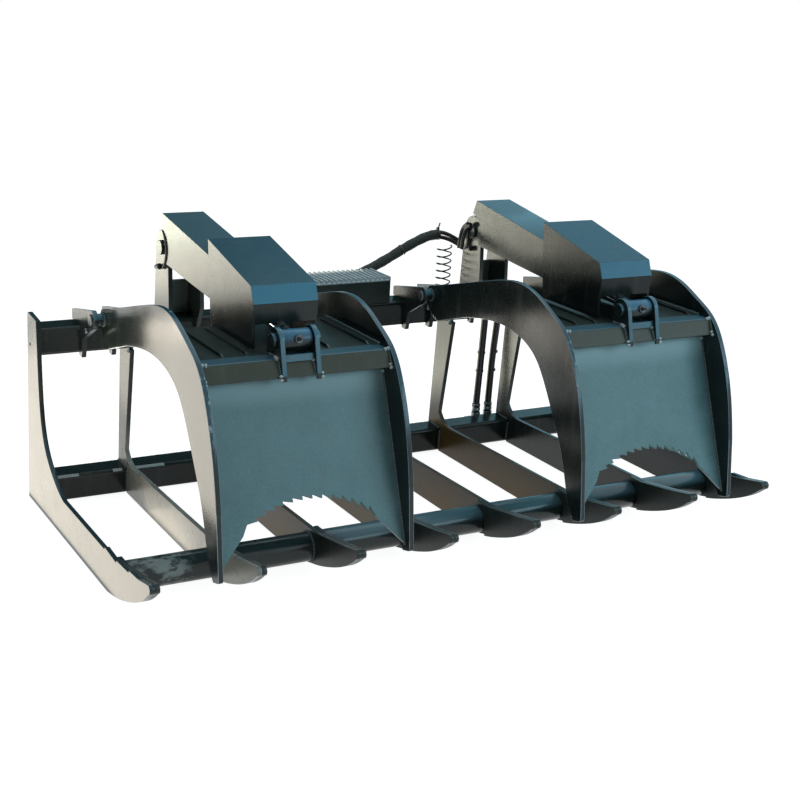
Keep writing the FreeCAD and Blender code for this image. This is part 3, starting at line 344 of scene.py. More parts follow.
def painted_corner_glint(start: float, end: float) -> Layer:
    """A painted glint on the lower tube's front upper corner.

    Args:
        start: Its left end across, in metres.
        end: Its right end.

    Returns:
        The layer, with sharp borders.
    """
    falls = (1.0, 0.0)
    return Layer("#d3dad9", (
        Ramp(Read.FACING, "Z", (0.30, 0.30 + SHARP)),
        Ramp(Read.FACING, "Z", (0.93, 0.93 + SHARP), falls),
        Ramp(Read.FACING, "Y", (-0.1, -0.1 + SHARP), falls),
        Ramp(Read.PLACE, "Z", (0.2, 0.2 + SHARP), falls),
        Ramp(Read.PLACE, "X", (start, start + SHARP)),
        Ramp(Read.PLACE, "X", (end, end + SHARP), falls),
    ))


# painted glints at three spots along the lower tube
PAINTED_CORNER_GLINTS = tuple(painted_corner_glint(start, end) for start, end in
                   ((-0.865, -0.793), (-0.695, -0.668), (-0.638, -0.542)))


@dataclass(frozen=True)
class Enamel(Surface):
    """Sprayed machine enamel over rolled steel plate: satin, orange peel, painted sky reflection on
    tops.

    The spray leaves cloudy patches tens of millimetres wide and a fine peel of about 3 mm. Faces
    that look up get a painted sky reflection, and rain leaves faint streaks down the upright ones.
    """

    body: str
    thin: str
    # colour of the painted sky reflection on faces that look up
    painted_sky_sheen: str
    roughness: float = 0.22
    # how far a face must look up before the painted sky reflection shows
    painted_sheen_facing: Pair = (0.22, 0.62)
    ior: float = 1.40
    under: tuple[Layer, ...] = ()
    over: tuple[Layer, ...] = ()
    # masks that weaken the painted sky reflection
    sheen_masks: tuple[Ramp, ...] = ()
    peel_mm: float = 3.0
    speck_mm: float = 5.0
    speck_share: float = 0.4
    spread: Pair = (0.36, 0.66)
    bump: Pair = (0.22, 0.0005)

    def shader(self, tree: Tree) -> Socket:
        """The coat: cloudy base, painted sky reflection on faces that look up, and the layers under
        and over the rain streaks.

        Args:
            tree: The material's tree.

        Returns:
            The closure.
        """
        coords = node(tree, "ShaderNodeTexCoord")
        where = coords.outputs["Object"]
        cloud = node(tree, "ShaderNodeTexNoise", {
            "Vector": where, "Scale": per_metre(CLOUD_MM), "Detail": CLOUD_DETAIL,
            "Roughness": CLOUD_ROUGHNESS}).outputs["Fac"]
        speck, peel = (
            node(tree, "ShaderNodeTexNoise",
                 {"Vector": where, "Scale": per_metre(size), "Detail": 2.0}).outputs["Fac"]
            for size in (self.speck_mm, self.peel_mm))
        both = node(tree, "ShaderNodeMix", {0: self.speck_share, 2: cloud, 3: speck},
                    data_type="FLOAT")
        spread = node(tree, "ShaderNodeMapRange", spans(both.outputs[0], self.spread))
        colour = node(tree, "ShaderNodeMix", {0: spread.outputs[0], 6: self.body, 7: self.thin},
                      data_type="RGBA").outputs[2]
        # faces that look up get a painted sky reflection
        painted_sky_glow = (Ramp(Read.FACING, "Z", self.painted_sheen_facing, smooth=True), *self.sheen_masks)
        for layer in (Layer(self.painted_sky_sheen, painted_sky_glow), *self.under, RAIN, *self.over):
            colour = layer.over(tree, coords, colour)
        return self.embossed(tree, colour, peel, self.bump,
                             self.uneven(tree, cloud, self.roughness), IOR=self.ior)


@dataclass(frozen=True)
class Metal(Surface):
    """A bare or plated metal: fine grain and cloudy roughness."""

    colour: str
    shade: str
    roughness: float
    grain_mm: float = 3.2
    bump: float = 0.12

    def shader(self, tree: Tree) -> Socket:
        """The metal's closure, its colour and bump on one grain.

        Args:
            tree: The material's tree.

        Returns:
            The closure.
        """
        where = node(tree, "ShaderNodeTexCoord").outputs["Object"]
        grain = node(tree, "ShaderNodeTexNoise", {
            "Vector": where, "Scale": per_metre(self.grain_mm), "Detail": 3.0}).outputs["Fac"]
        colour = node(tree, "ShaderNodeMix", {0: grain, 6: self.colour, 7: self.shade},
                      data_type="RGBA").outputs[2]
        return self.embossed(tree, colour, grain, (self.bump, 0.0002),
                             self.uneven(tree, grain, self.roughness), Metallic=1.0)


SMUDGE_MM = 1000 / 60
SMUDGE_DETAIL = 4.0


@dataclass(frozen=True)
class RodFinish(Surface):
    """A cylinder rod: hard chrome shaft, and the enamel of the clamps, with a painted sky
    reflection, on its welded eye.
    """

    chrome: Metal
    body: str
    # colour of the painted sky reflection on the top of the eye
    painted_sky_sheen: str
    eye_mm: float = 34.0
    roughness: float = 0.3
    ior: float = 1.40

    def shader(self, tree: Tree) -> Socket:
        """Chrome, with enamel where the surface is near the rod pin's axis.

        Args:
            tree: The material's tree.

        Returns:
            The closure.
        """
        coords = node(tree, "ShaderNodeTexCoord")
        flat = node(tree, "ShaderNodeVectorMath",
                    {0: coords.outputs["Object"], 1: (0.0, 1.0, 1.0)}, operation="MULTIPLY")
        gap = node(tree, "ShaderNodeVectorMath", {0: flat.outputs[0], 1: place(0, *ROD_PIN)},
                   operation="DISTANCE")
        near = node(tree, "ShaderNodeMath", {0: gap.outputs["Value"], 1: self.eye_mm * MM},
                    operation="LESS_THAN")
        # the eye's top gets a painted sky reflection, in smudges
        painted_sky_glow = Layer(self.painted_sky_sheen, (Ramp(Read.FACING, "Z", (-0.1, 0.8)),
                                      Patch(SMUDGE_MM, SMUDGE_DETAIL, ends=(0.6, 1.3))))
        paint = node(tree, "ShaderNodeBsdfPrincipled", {
            "Base Color": painted_sky_glow.over(tree, coords, self.body), "Roughness": self.roughness,
            "IOR": self.ior})
        return node(tree, "ShaderNodeMixShader", {
            0: near.outputs[0], 1: self.chrome.shader(tree), 2: paint.outputs[0]}).outputs[0]


@dataclass(frozen=True)
class Elastomer(Surface):
    """Hose rubber or moulded nylon: near-black, with a faint wrap from the mould or the cloth."""

    colour: str
    shade: str
    roughness: float
    wrap_mm: float
    bump: float
    wave_unit: float = 6.0

    def shader(self, tree: Tree) -> Socket:
        """Smudged, with the wrap as a bump.

        Args:
            tree: The material's tree.

        Returns:
            The closure.
        """
        where = node(tree, "ShaderNodeTexCoord").outputs["Object"]
        wave = node(tree, "ShaderNodeTexWave", {
            "Vector": where, "Scale": per_metre(self.wrap_mm) / self.wave_unit,
            "Distortion": 2.0}, bands_direction="DIAGONAL")
        patch = node(tree, "ShaderNodeTexNoise", {
            "Vector": where, "Scale": per_metre(SMUDGE_MM), "Detail": SMUDGE_DETAIL})
        colour = node(tree, "ShaderNodeMix",
                      {0: patch.outputs["Fac"], 6: self.colour, 7: self.shade}, data_type="RGBA")
        return self.embossed(tree, colour.outputs[2], wave.outputs["Fac"], (self.bump, 0.0006),
                             self.roughness, IOR=1.5)


@dataclass(frozen=True)
class Braid(Surface):
    """Woven nylon sleeve: two sets of flat yarns that cross on the slant, on the sleeve's UV map.

    Real yarns are about 2 mm wide; they are drawn 5 mm wide so that the weave shows.
    """

    high: str
    low: str
    yarn_mm: float = 5.0
    wave_unit: float = 6.28
    slant: float = 0.9
    patch_mm: float = 1000 / 45
    worn: float = 0.7
    roughness: float = 0.72

    def shader(self, tree: Tree) -> Socket:
        """Yarns that stand up, and are worn paler, where the two sets cross.

        Args:
            tree: The material's tree.

        Returns:
            The closure.
        """
        spread = node(tree, "ShaderNodeUVMap", uv_map=UV_NAME).outputs["UV"]
        sets = []
        for turn in (self.slant, -self.slant):
            slanted = node(tree, "ShaderNodeMapping",
                           {"Vector": spread, "Rotation": (0.0, 0.0, turn)})
            sets.append(node(tree, "ShaderNodeTexWave", {
                "Vector": slanted.outputs["Vector"],
                "Scale": per_metre(self.yarn_mm) / self.wave_unit}, bands_direction="X"))
        over = node(tree, "ShaderNodeMath",
                    {0: sets[0].outputs["Fac"], 1: sets[1].outputs["Fac"]},
                    operation="MULTIPLY").outputs[0]
        patch = node(tree, "ShaderNodeTexNoise", {
            "Vector": spread, "Scale": per_metre(self.patch_mm), "Detail": 4.0})
        worn = node(tree, "ShaderNodeMath", {0: over, 1: self.worn, 2: patch.outputs["Fac"]},
                    operation="MULTIPLY_ADD", use_clamp=True)
        colour = node(tree, "ShaderNodeMix", {0: worn.outputs[0], 6: self.low, 7: self.high},
                      data_type="RGBA")
        return self.embossed(tree, colour.outputs[2], over, (0.7, 0.0012), self.roughness,
                             IOR=1.5, Sheen_Weight=0.25, Sheen_Roughness=0.5)


class Finish(Enum):
    """The finishes on the bucket, each as it is made."""

    # machine enamel, dark grey-teal; sprayed and air-dried, so a satin gloss
    ENAMEL = Enamel("teal_machine_enamel", "#1d2626", "#29332f", "#33525c")
    # the same enamel on the wide toothed faces, painted lighter and bluer for the sky light they
    # catch, with painted light at the top
    ENAMEL_FACE = Enamel("teal_machine_enamel_on_broad_plate", "#587b7c", "#7b9b9d", "#789ba0",
                         0.36, over=(PAINTED_TOP_LIGHT,))
    # the same enamel painted darker as shade, for the inside of the clamps, with less painted sky
    # reflection
    ENAMEL_SHADE = Enamel("machine_enamel_with_painted_shade", "#1a2220", "#29312d", "#2b3a37", 0.34)
    # the same enamel, with a painted brown reflection of the ground where the floor bars lie low
    ENAMEL_FLOOR = Enamel("teal_machine_enamel_with_painted_ground_reflection", "#1f2625", "#2c332f", "#37484a",
                          0.30, ior=1.35, over=(PAINTED_GROUND_REFLECTION,))
    # the first tine, with painted pale light along its floor bar
    ENAMEL_PALE = Enamel("machine_enamel_with_painted_pale_light", "#232b2b", "#2f3935", "#33525c", 0.26,
                         over=(PAINTED_PALE_LIGHT,))
    # the left front guard, with a painted blue sky reflection on every face that looks up a little
    ENAMEL_GUARD = Enamel("enamel_with_painted_sky_sheen_on_left_front_guard", "#1a2221", "#252e2b",
                          "#205464", 0.24, (0.08, 0.34), 1.37, (Layer("#4590aa", STEEP),))
    # the right front guard, a duller coat painted a little darker as shade, with the same painted
    # sky reflection
    ENAMEL_GUARD_RIGHT = Enamel("enamel_with_painted_sky_sheen_on_right_front_guard", "#161d1c", "#202825",
                                "#1f5468", 0.24, (0.08, 0.34), 1.30, (Layer("#3f8098", STEEP),))
    # the rear guards, flatter to the sky and so with a paler painted sky reflection
    ENAMEL_REAR_GUARD = Enamel("enamel_with_painted_sky_sheen_on_left_rear_guard", "#1a2221", "#252e2b",
                               "#5d7d86", 0.20, (0.08, 0.34), 1.34)
    ENAMEL_REAR_RIGHT = Enamel("enamel_with_painted_sky_sheen_on_right_rear_guard", "#1a211f", "#252c27",
                               "#4c7888", 0.18, (0.08, 0.34), 1.33)
    # the arches: rims a dull teal from a painted sky reflection, with painted highlights on the
    # broken edges
    ENAMEL_ARCH = Enamel("enamel_on_arches", "#1c2525", "#293331", "#36606c", 0.13,
                         (0.15, 0.45), over=(PAINTED_EDGE_HIGHLIGHT,))
    # the end plates, a slightly thinner gloss than the rest
    ENAMEL_END = Enamel("enamel_on_end_plates", "#1d2626", "#29332f", "#33525c", ior=1.375)
    # the upright stiffeners inside the towers, painted pale as light in their shade
    ENAMEL_TOWER = Enamel("enamel_with_painted_light_inside_towers", "#56625b", "#66726a", "#66746f", 0.4)
    # the right tower's plates, a full gloss, painted lighter as light
    ENAMEL_GLOSS = Enamel("full_gloss_enamel_with_painted_light_on_right_tower", "#2a302c", "#363b34", "#33525c",
                          ior=1.50)
    # the crossbars: dull in front, with a painted blue sky reflection along the rounded upper
    # corner
    ENAMEL_BAR = Enamel("enamel_on_crossbar", "#2d3529", "#3b4233", "#4d7583", 0.30,
                        (0.55, 0.80))
    # lugs and brackets, with a painted sky reflection on their narrow edges
    ENAMEL_LUG = Enamel("enamel_on_lugs", "#1c2525", "#293331", "#4f8597", painted_sheen_facing=(0.06, 0.34))
    # square tubes: a tight gloss that catches the sky along the rounded corners; painted darker as
    # shade, with a faint painted sky reflection on top and painted glints on the lower tube's front
    # upper corner
    ENAMEL_TUBE = Enamel("enamel_on_square_tube", "#171e1e", "#212926", "#273634", 0.15,
                         ior=1.30, over=PAINTED_CORNER_GLINTS)
    # the front pipe: a painted sky reflection along its top, weak on the left, and bright patches
    # beside the left end plate
    ENAMEL_PIPE = Enamel("enamel_on_pipe_with_painted_sky_sheen_and_pale_patches", "#1c2728", "#273230", "#5c7d86", 0.18,
                         (0.20, 0.75), over=(PALE_PATCHES,), sheen_masks=(LESS_SHEEN_LEFT,))
    # pale enamel on the bars of the step, with a painted sky reflection, near white, on their tops
    TREAD = Enamel("pale_step_enamel_with_painted_sky_sheen", "#b4bfbf", "#cdd6d6", "#f6f8f8", 0.3, (0.5, 0.8))
    # painted weld bead, paler as a painted highlight on the ripples
    WELD = Enamel("enamel_over_weld_bead_with_painted_highlight", "#3d4f50", "#5f7475", "#6f8688", peel_mm=5.0)
    # the crater where a bead ends, near white as a painted glint
    WELD_END = Enamel("weld_crater_with_painted_glint", "#b5c1c0", "#e2e9e7", "#eef3f2", 0.24,
                      peel_mm=5.0)
    # bright zinc plate on pins and cap screws: a soft, cloudy shine
    ZINC = Metal("zinc_plated_steel", "#7d858a", "#5d656a", 0.36)
    # hard chrome, ground: nearly a mirror; the welded eye is painted with the clamp, with a painted
    # sky reflection on top
    CHROME = RodFinish("chromed_rod_with_painted_eye",
                       Metal("hard_chrome", "#c9ccd0", "#b4b8bd", 0.14, 1.6, 0.03),
                       "#1d2525", "#4f8fae")
    # machined grey iron, darker and duller than plate
    IRON = Metal("machined_grey_iron", "#55585a", "#3f4244", 0.42)
    # smooth hose cover, wrapped cure
    RUBBER = Elastomer("hose_rubber", "#0d0e0f", "#191b1c", 0.36, 3.0, 0.25)
    # nylon sleeve drawn over the hose bundle
    SLEEVE = Braid("woven_nylon_sleeve", "#363e3b", "#191e1d")
    # moulded nylon: ties, and the dark arcs that stand for shade round the rear guards' cut-outs;
    # dull black
    NYLON = Elastomer("moulded_nylon_tie", "#1a1c1d", "#2b2e2f", 0.42, 6.0, 0.1)
    # oiled spring wire, nearly black
    SPRING = Metal("oiled_spring_wire", "#33363a", "#1f2124", 0.4)


MATERIALS: dict[Finish, bpy.types.Material] = {}


def material(finish: Finish) -> bpy.types.Material:
    """The one material of a finish, made when it is first asked for.

    Args:
        finish: The finish.

    Returns:
        Its material.
    """
    if finish not in MATERIALS:
        MATERIALS[finish] = finish.value.make()
    return MATERIALS[finish]


def dress(piece: bpy.types.Object, finish: Finish) -> None:
    """Gives a piece one finish on every slot.

    Args:
        piece: The piece, or a CAD node's object.
        finish: Its finish.
    """
    if not piece.data.materials:
        piece.data.materials.append(material(finish))
    for number in range(len(piece.material_slots)):
        piece.material_slots[number].material = material(finish)


def hang(piece: bpy.types.Object, body: str, finish: Finish) -> None:
    """Dresses a new piece and lets it move with a body.

    Args:
        piece: The finished piece.
        body: The body that carries it.
        finish: Its finish.
    """
    dress(piece, finish)
    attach(piece, body)
    log.info("%s: %d faces on %s", piece.name, len(piece.data.polygons), body)


def linked(name: str, data: bpy.types.ID) -> bpy.types.Object:
    """A new object in the scene with a mesh or other data, at the origin.

    Args:
        name: The object's name.
        data: Its mesh, curve, lamp or camera.

    Returns:
        The object.
    """
    piece = bpy.data.objects.new(name, data)
    bpy.context.scene.collection.objects.link(piece)
    return piece


def finished(name: str, shape: bmesh.types.BMesh, smooth_below: float = 35.0) -> bpy.types.Object:
    """Turns a bmesh to an object: doubles merged, faces outwards, smooth where it is round.

    Args:
        name: The piece's name.
        shape: Its mesh, which is freed.
        smooth_below: Edges with a smaller angle, in degrees, are smooth.

    Returns:
        The piece.
    """
    bmesh.ops.remove_doubles(shape, verts=shape.verts, dist=SAME_SPOT)
    bmesh.ops.recalc_face_normals(shape, faces=shape.faces)
    limit = math.radians(smooth_below)
    for face in shape.faces:
        face.smooth = True
    for edge in shape.edges:
        edge.smooth = len(edge.link_faces) == 2 and edge.calc_face_angle(0.0) < limit
    mesh = bpy.data.meshes.new(name)
    shape.to_mesh(mesh)
    shape.free()
    return linked(name, mesh)


def evaluated(piece: bpy.types.Object) -> bpy.types.Mesh:
    """A plain mesh of what a curve or a piece with modifiers shows.

    Args:
        piece: The curve or the piece.

    Returns:
        The mesh.
    """
    bpy.context.view_layer.update()
    shown = piece.evaluated_get(bpy.context.evaluated_depsgraph_get())
    return bpy.data.meshes.new_from_object(shown)


def smooth_line(points: Path, per_span: int = 12) -> Path:
    """Points along a NURBS spline that has the given control points.

    Args:
        points: The route's points, in metres.
        per_span: Steps for each control point.

    Returns:
        The spline's own points, from start to end.
    """
    curve = bpy.data.curves.new("route", "CURVE")
    curve.dimensions = "3D"
    curve.resolution_u = per_span
    spline = curve.splines.new("NURBS")
    spline.points.add(len(points) - 1)
    for spot, at in zip(spline.points, points):
        spot.co = (at.x, at.y, at.z, 1.0)
    spline.order_u = 3
    spline.use_endpoint_u = True
    piece = linked("route", curve)
    mesh = evaluated(piece)
    line = [vertex.co.copy() for vertex in mesh.vertices]
    bpy.data.objects.remove(piece)
    bpy.data.curves.remove(curve)
    bpy.data.meshes.remove(mesh)
    return line


def skinned(shape: bmesh.types.BMesh, rings: list[list[bmesh.types.BMVert]]
            ) -> list[bmesh.types.BMFace]:
    """Closes a row of rings to a skin with two flat ends.

    Args:
        shape: The mesh that holds the rings.
        rings: Vertices round each ring, the same number in each.

    Returns:
        The faces between the rings, ring by ring.
    """
    faces = []
    for near, far in zip(rings, rings[1:]):
        for i in range(len(near)):
            after = (i + 1) % len(near)
            faces.append(shape.faces.new((near[i], near[after], far[after], far[i])))
    shape.faces.new(reversed(rings[0]))
    shape.faces.new(rings[-1])
    return faces


def swept(shape: bmesh.types.BMesh, line: Path, wide: list[float], flat: float = 1.0,
          steps: int = 20) -> None:
    """Adds a closed tube along a line, with its length and girth in a UV map.

    Args:
        shape: The mesh that gets the tube.
        line: The points it follows, in metres.
        wide: Its radius at each point, in metres.
        flat: Its thickness as a share of its width.
        steps: Corners round it.
    """
    layer = shape.loops.layers.uv.get(UV_NAME) or shape.loops.layers.uv.new(UV_NAME)
    rings, along, run = [], [], 0.0
    for number, at in enumerate(line):
        ahead = line[min(number + 1, len(line) - 1)] - line[max(number - 1, 0)]
        out = ahead.cross(Vector((0, 1, 0))).normalized()
        side = ahead.cross(out).normalized()
        run += (at - line[number - 1]).length if number else 0.0
        along.append(run)
        rings.append([
            shape.verts.new(at + wide[number] * (math.cos(t) * out + flat * math.sin(t) * side))
            for t in circle(steps)])
    for number, face in enumerate(skinned(shape, rings)):
        span, i = divmod(number, steps)
        girth = 2 * math.pi * wide[span] / steps
        start, end = along[span], along[span + 1]
        marks = ((start, i), (start, i + 1), (end, i + 1), (end, i))
        for loop, (length, step) in zip(face.loops, marks):
            loop[layer].uv = (length, step * girth)


def lathed(shape: bmesh.types.BMesh, start: Vector, axis: Vector, profile: Profile,
           steps: int = 24) -> None:
    """Adds a closed turned form.

    Args:
        shape: The mesh that gets it.
        start: The middle of its first end, in metres.
        axis: Its direction.
        profile: Distance along the axis and radius of each step, in millimetres.
        steps: Corners round it; 6 gives a hexagon.
    """
    turn = axis.to_track_quat("Z", "Y").to_matrix()
    skinned(shape, [
        [shape.verts.new(start + turn @ Vector((radius * MM * math.cos(t),
                                                radius * MM * math.sin(t), along * MM)))
         for t in circle(steps)]
        for along, radius in profile])


def block(shape: bmesh.types.BMesh, middle: Vector, half: Point,
          turn: Matrix = Matrix.Identity(3)) -> None:
    """Adds a small rectangular lug.

    Args:
        shape: The mesh that gets it.
        middle: Its middle, in metres.
        half: Its half sizes, in millimetres.
        turn: How it is turned.
    """
    size = Matrix.Diagonal((2 * half[0] * MM, 2 * half[1] * MM, 2 * half[2] * MM, 1.0))
    bmesh.ops.create_cube(shape, size=1.0,
                          matrix=Matrix.Translation(middle) @ turn.to_4x4() @ size)


def rope_of(name: str, paths: list[Path]) -> bpy.types.Object:
    """A piece of bare edges along several paths, for a tree that follows them.

    Args:
        name: The piece's name.
        paths: The points of each path, in metres.

    Returns:
        The piece.
    """
    mesh = bpy.data.meshes.new(name)
    verts: Path = []
    edges: list[tuple[int, int]] = []
    for points in paths:
        start = len(verts)
        verts += points
        edges += [(start + i, start + i + 1) for i in range(len(points) - 1)]
    mesh.from_pydata(verts, edges, [])
    return linked(name, mesh)


def bead_tree(finish: Finish) -> bpy.types.NodeTree:
    """The tree that lays a rippled weld bead along every path of a mesh.

    Args:
        finish: The finish of the bead.

    Returns:
        A geometry tree with Bead Radius, Ripple Spacing and Seed inputs.
    """
    tree = bpy.data.node_groups.new("rippled_weld_bead", "GeometryNodeTree")
    face = tree.interface
    face.new_socket("Geometry", in_out="INPUT", socket_type="NodeSocketGeometry")
    for name, kind, value in (("Bead Radius", "Float", 0.004), ("Ripple Spacing", "Float", 0.004),
                              ("Seed", "Int", 7)):
        face.new_socket(name, in_out="INPUT", socket_type="NodeSocket" + kind).default_value = value
    face.new_socket("Geometry", in_out="OUTPUT", socket_type="NodeSocketGeometry")
    start = node(tree, "NodeGroupInput").outputs
    line = node(tree, "GeometryNodeMeshToCurve", {"Mesh": start["Geometry"]})
    spots = node(tree, "GeometryNodeCurveToPoints",
                 {"Curve": line.outputs["Curve"], "Length": start["Ripple Spacing"]},
                 mode="LENGTH").outputs
    drop = node(tree, "GeometryNodeMeshUVSphere",
                {"Radius": start["Bead Radius"], "Segments": 8, "Rings": 5})
    # each ripple a little wider or narrower than the next, and flatter than a ball
    spread = node(tree, "FunctionNodeRandomValue",
                  {"Seed": start["Seed"], 0: (0.85, 0.85, 0.62), 1: (1.1, 1.1, 0.8)},
                  data_type="FLOAT_VECTOR")
    laid = node(tree, "GeometryNodeInstanceOnPoints", {
        "Points": spots["Points"], "Instance": drop.outputs["Mesh"],
        "Rotation": spots["Rotation"], "Scale": spread.outputs[0]})
    real = node(tree, "GeometryNodeRealizeInstances", {"Geometry": laid.outputs["Instances"]})
    soft = node(tree, "GeometryNodeSetShadeSmooth", {"Geometry": real.outputs["Geometry"]})
    dressed = node(tree, "GeometryNodeSetMaterial",
                   {"Geometry": soft.outputs["Geometry"], "Material": material(finish)})
    node(tree, "NodeGroupOutput", {"Geometry": dressed.outputs["Geometry"]})
    return tree


@dataclass
class Steelwork:
    """The welded plates and tubes carried over from the CAD model, with softened edges."""

    edge_mm: float = 1.3
    wide_edges: tuple[tuple[str, float], ...] = (("crossbar", 7.0), ("arch", 2.6))
    rounded_from: float = 3.0
    merge: float = 0.00002
    flat_below: float = math.radians(0.4)
    sharp_above: float = math.radians(40)
    groups: tuple[tuple[Finish, tuple[str, ...]], ...] = (
        (Finish.SPRING, ("hose_spring",)),
        (Finish.SLEEVE, ("hose_sleeve",)),
        (Finish.RUBBER, ("supply_hoses",)),
        (Finish.TREAD, ("step_grating",)),
        (Finish.CHROME, ("rod_left", "rod_right")),
        (Finish.ZINC, ("hinge_pins", "keeper_bolts", "hose_couplers")),
        (Finish.ENAMEL_FACE, ("panel",)),
        (Finish.ENAMEL_SHADE, ("deck", "nose_cheeks")),
        (Finish.ENAMEL_BAR, ("crossbar",)),
        (Finish.ENAMEL_GUARD, ("front_guard_left",)),
        (Finish.ENAMEL_GUARD_RIGHT, ("front_guard_right",)),
        (Finish.ENAMEL_REAR_GUARD, ("rear_guard_left",)),
        (Finish.ENAMEL_REAR_RIGHT, ("rear_guard_right",)),
        (Finish.ENAMEL_ARCH, ("arch",)),
        (Finish.ENAMEL_END, ("end_plate",)),
        (Finish.ENAMEL_TOWER, ("tower_back",)),
        (Finish.ENAMEL_GLOSS, ("tower_plates_right",)),
        (Finish.ENAMEL_LUG, ("clevis", "hinge_ears", "hinge_bosses", "rod_pin")),
        (Finish.ENAMEL_TUBE, ("top_tube", "lower_tube")),
        (Finish.ENAMEL_PIPE, ("front_pipe",)),
        (Finish.ENAMEL_PALE, ("tine_1",)),
        (Finish.ENAMEL_FLOOR, ("tine_2", "tine_3", "tine_4", "tine_5")),
        (Finish.IRON, ("piston", "gland")),
    )
    plain: tuple[str, ...] = ("hose_spring", "hose_sleeve", "supply_hoses", "step_grating")

    def finish_of(self, name: str) -> Finish:
        """The finish of a node, by how its name starts.

        Args:
            name: The node's name.

        Returns:
            The finish.
        """
        for finish, starts in self.groups:
            if name.startswith(starts):
                return finish
        return Finish.ENAMEL

    def soften(self, piece: bpy.types.Object, width: float) -> None:
        """Breaks the cut edges of a plate, which catch the light.

        Args:
            piece: The node's object.
            width: The broken edge's width in millimetres.
        """
        weld = piece.modifiers.new("join_corners", "WELD")
        weld.merge_threshold = self.merge
        flat = piece.modifiers.new("one_face_per_side", "DECIMATE")
        flat.decimate_type = "DISSOLVE"
        flat.angle_limit = self.flat_below
        edge = piece.modifiers.new("broken_edge", "BEVEL")
        edge.width = width * MM
        edge.segments = 2 if width < self.rounded_from else 4
        edge.limit_method = "ANGLE"
        edge.angle_limit = self.sharp_above
        edge.harden_normals = False

    def build(self) -> None:
        """Dresses every node of the CAD model."""
        wide = dict(self.wide_edges)
        for name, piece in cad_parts.items():
            dress(piece, self.finish_of(name))
            if name not in self.plain:
                self.soften(piece, wide.get(name.split("_")[0], self.edge_mm))
        log.info("steelwork: %d nodes dressed", len(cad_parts))


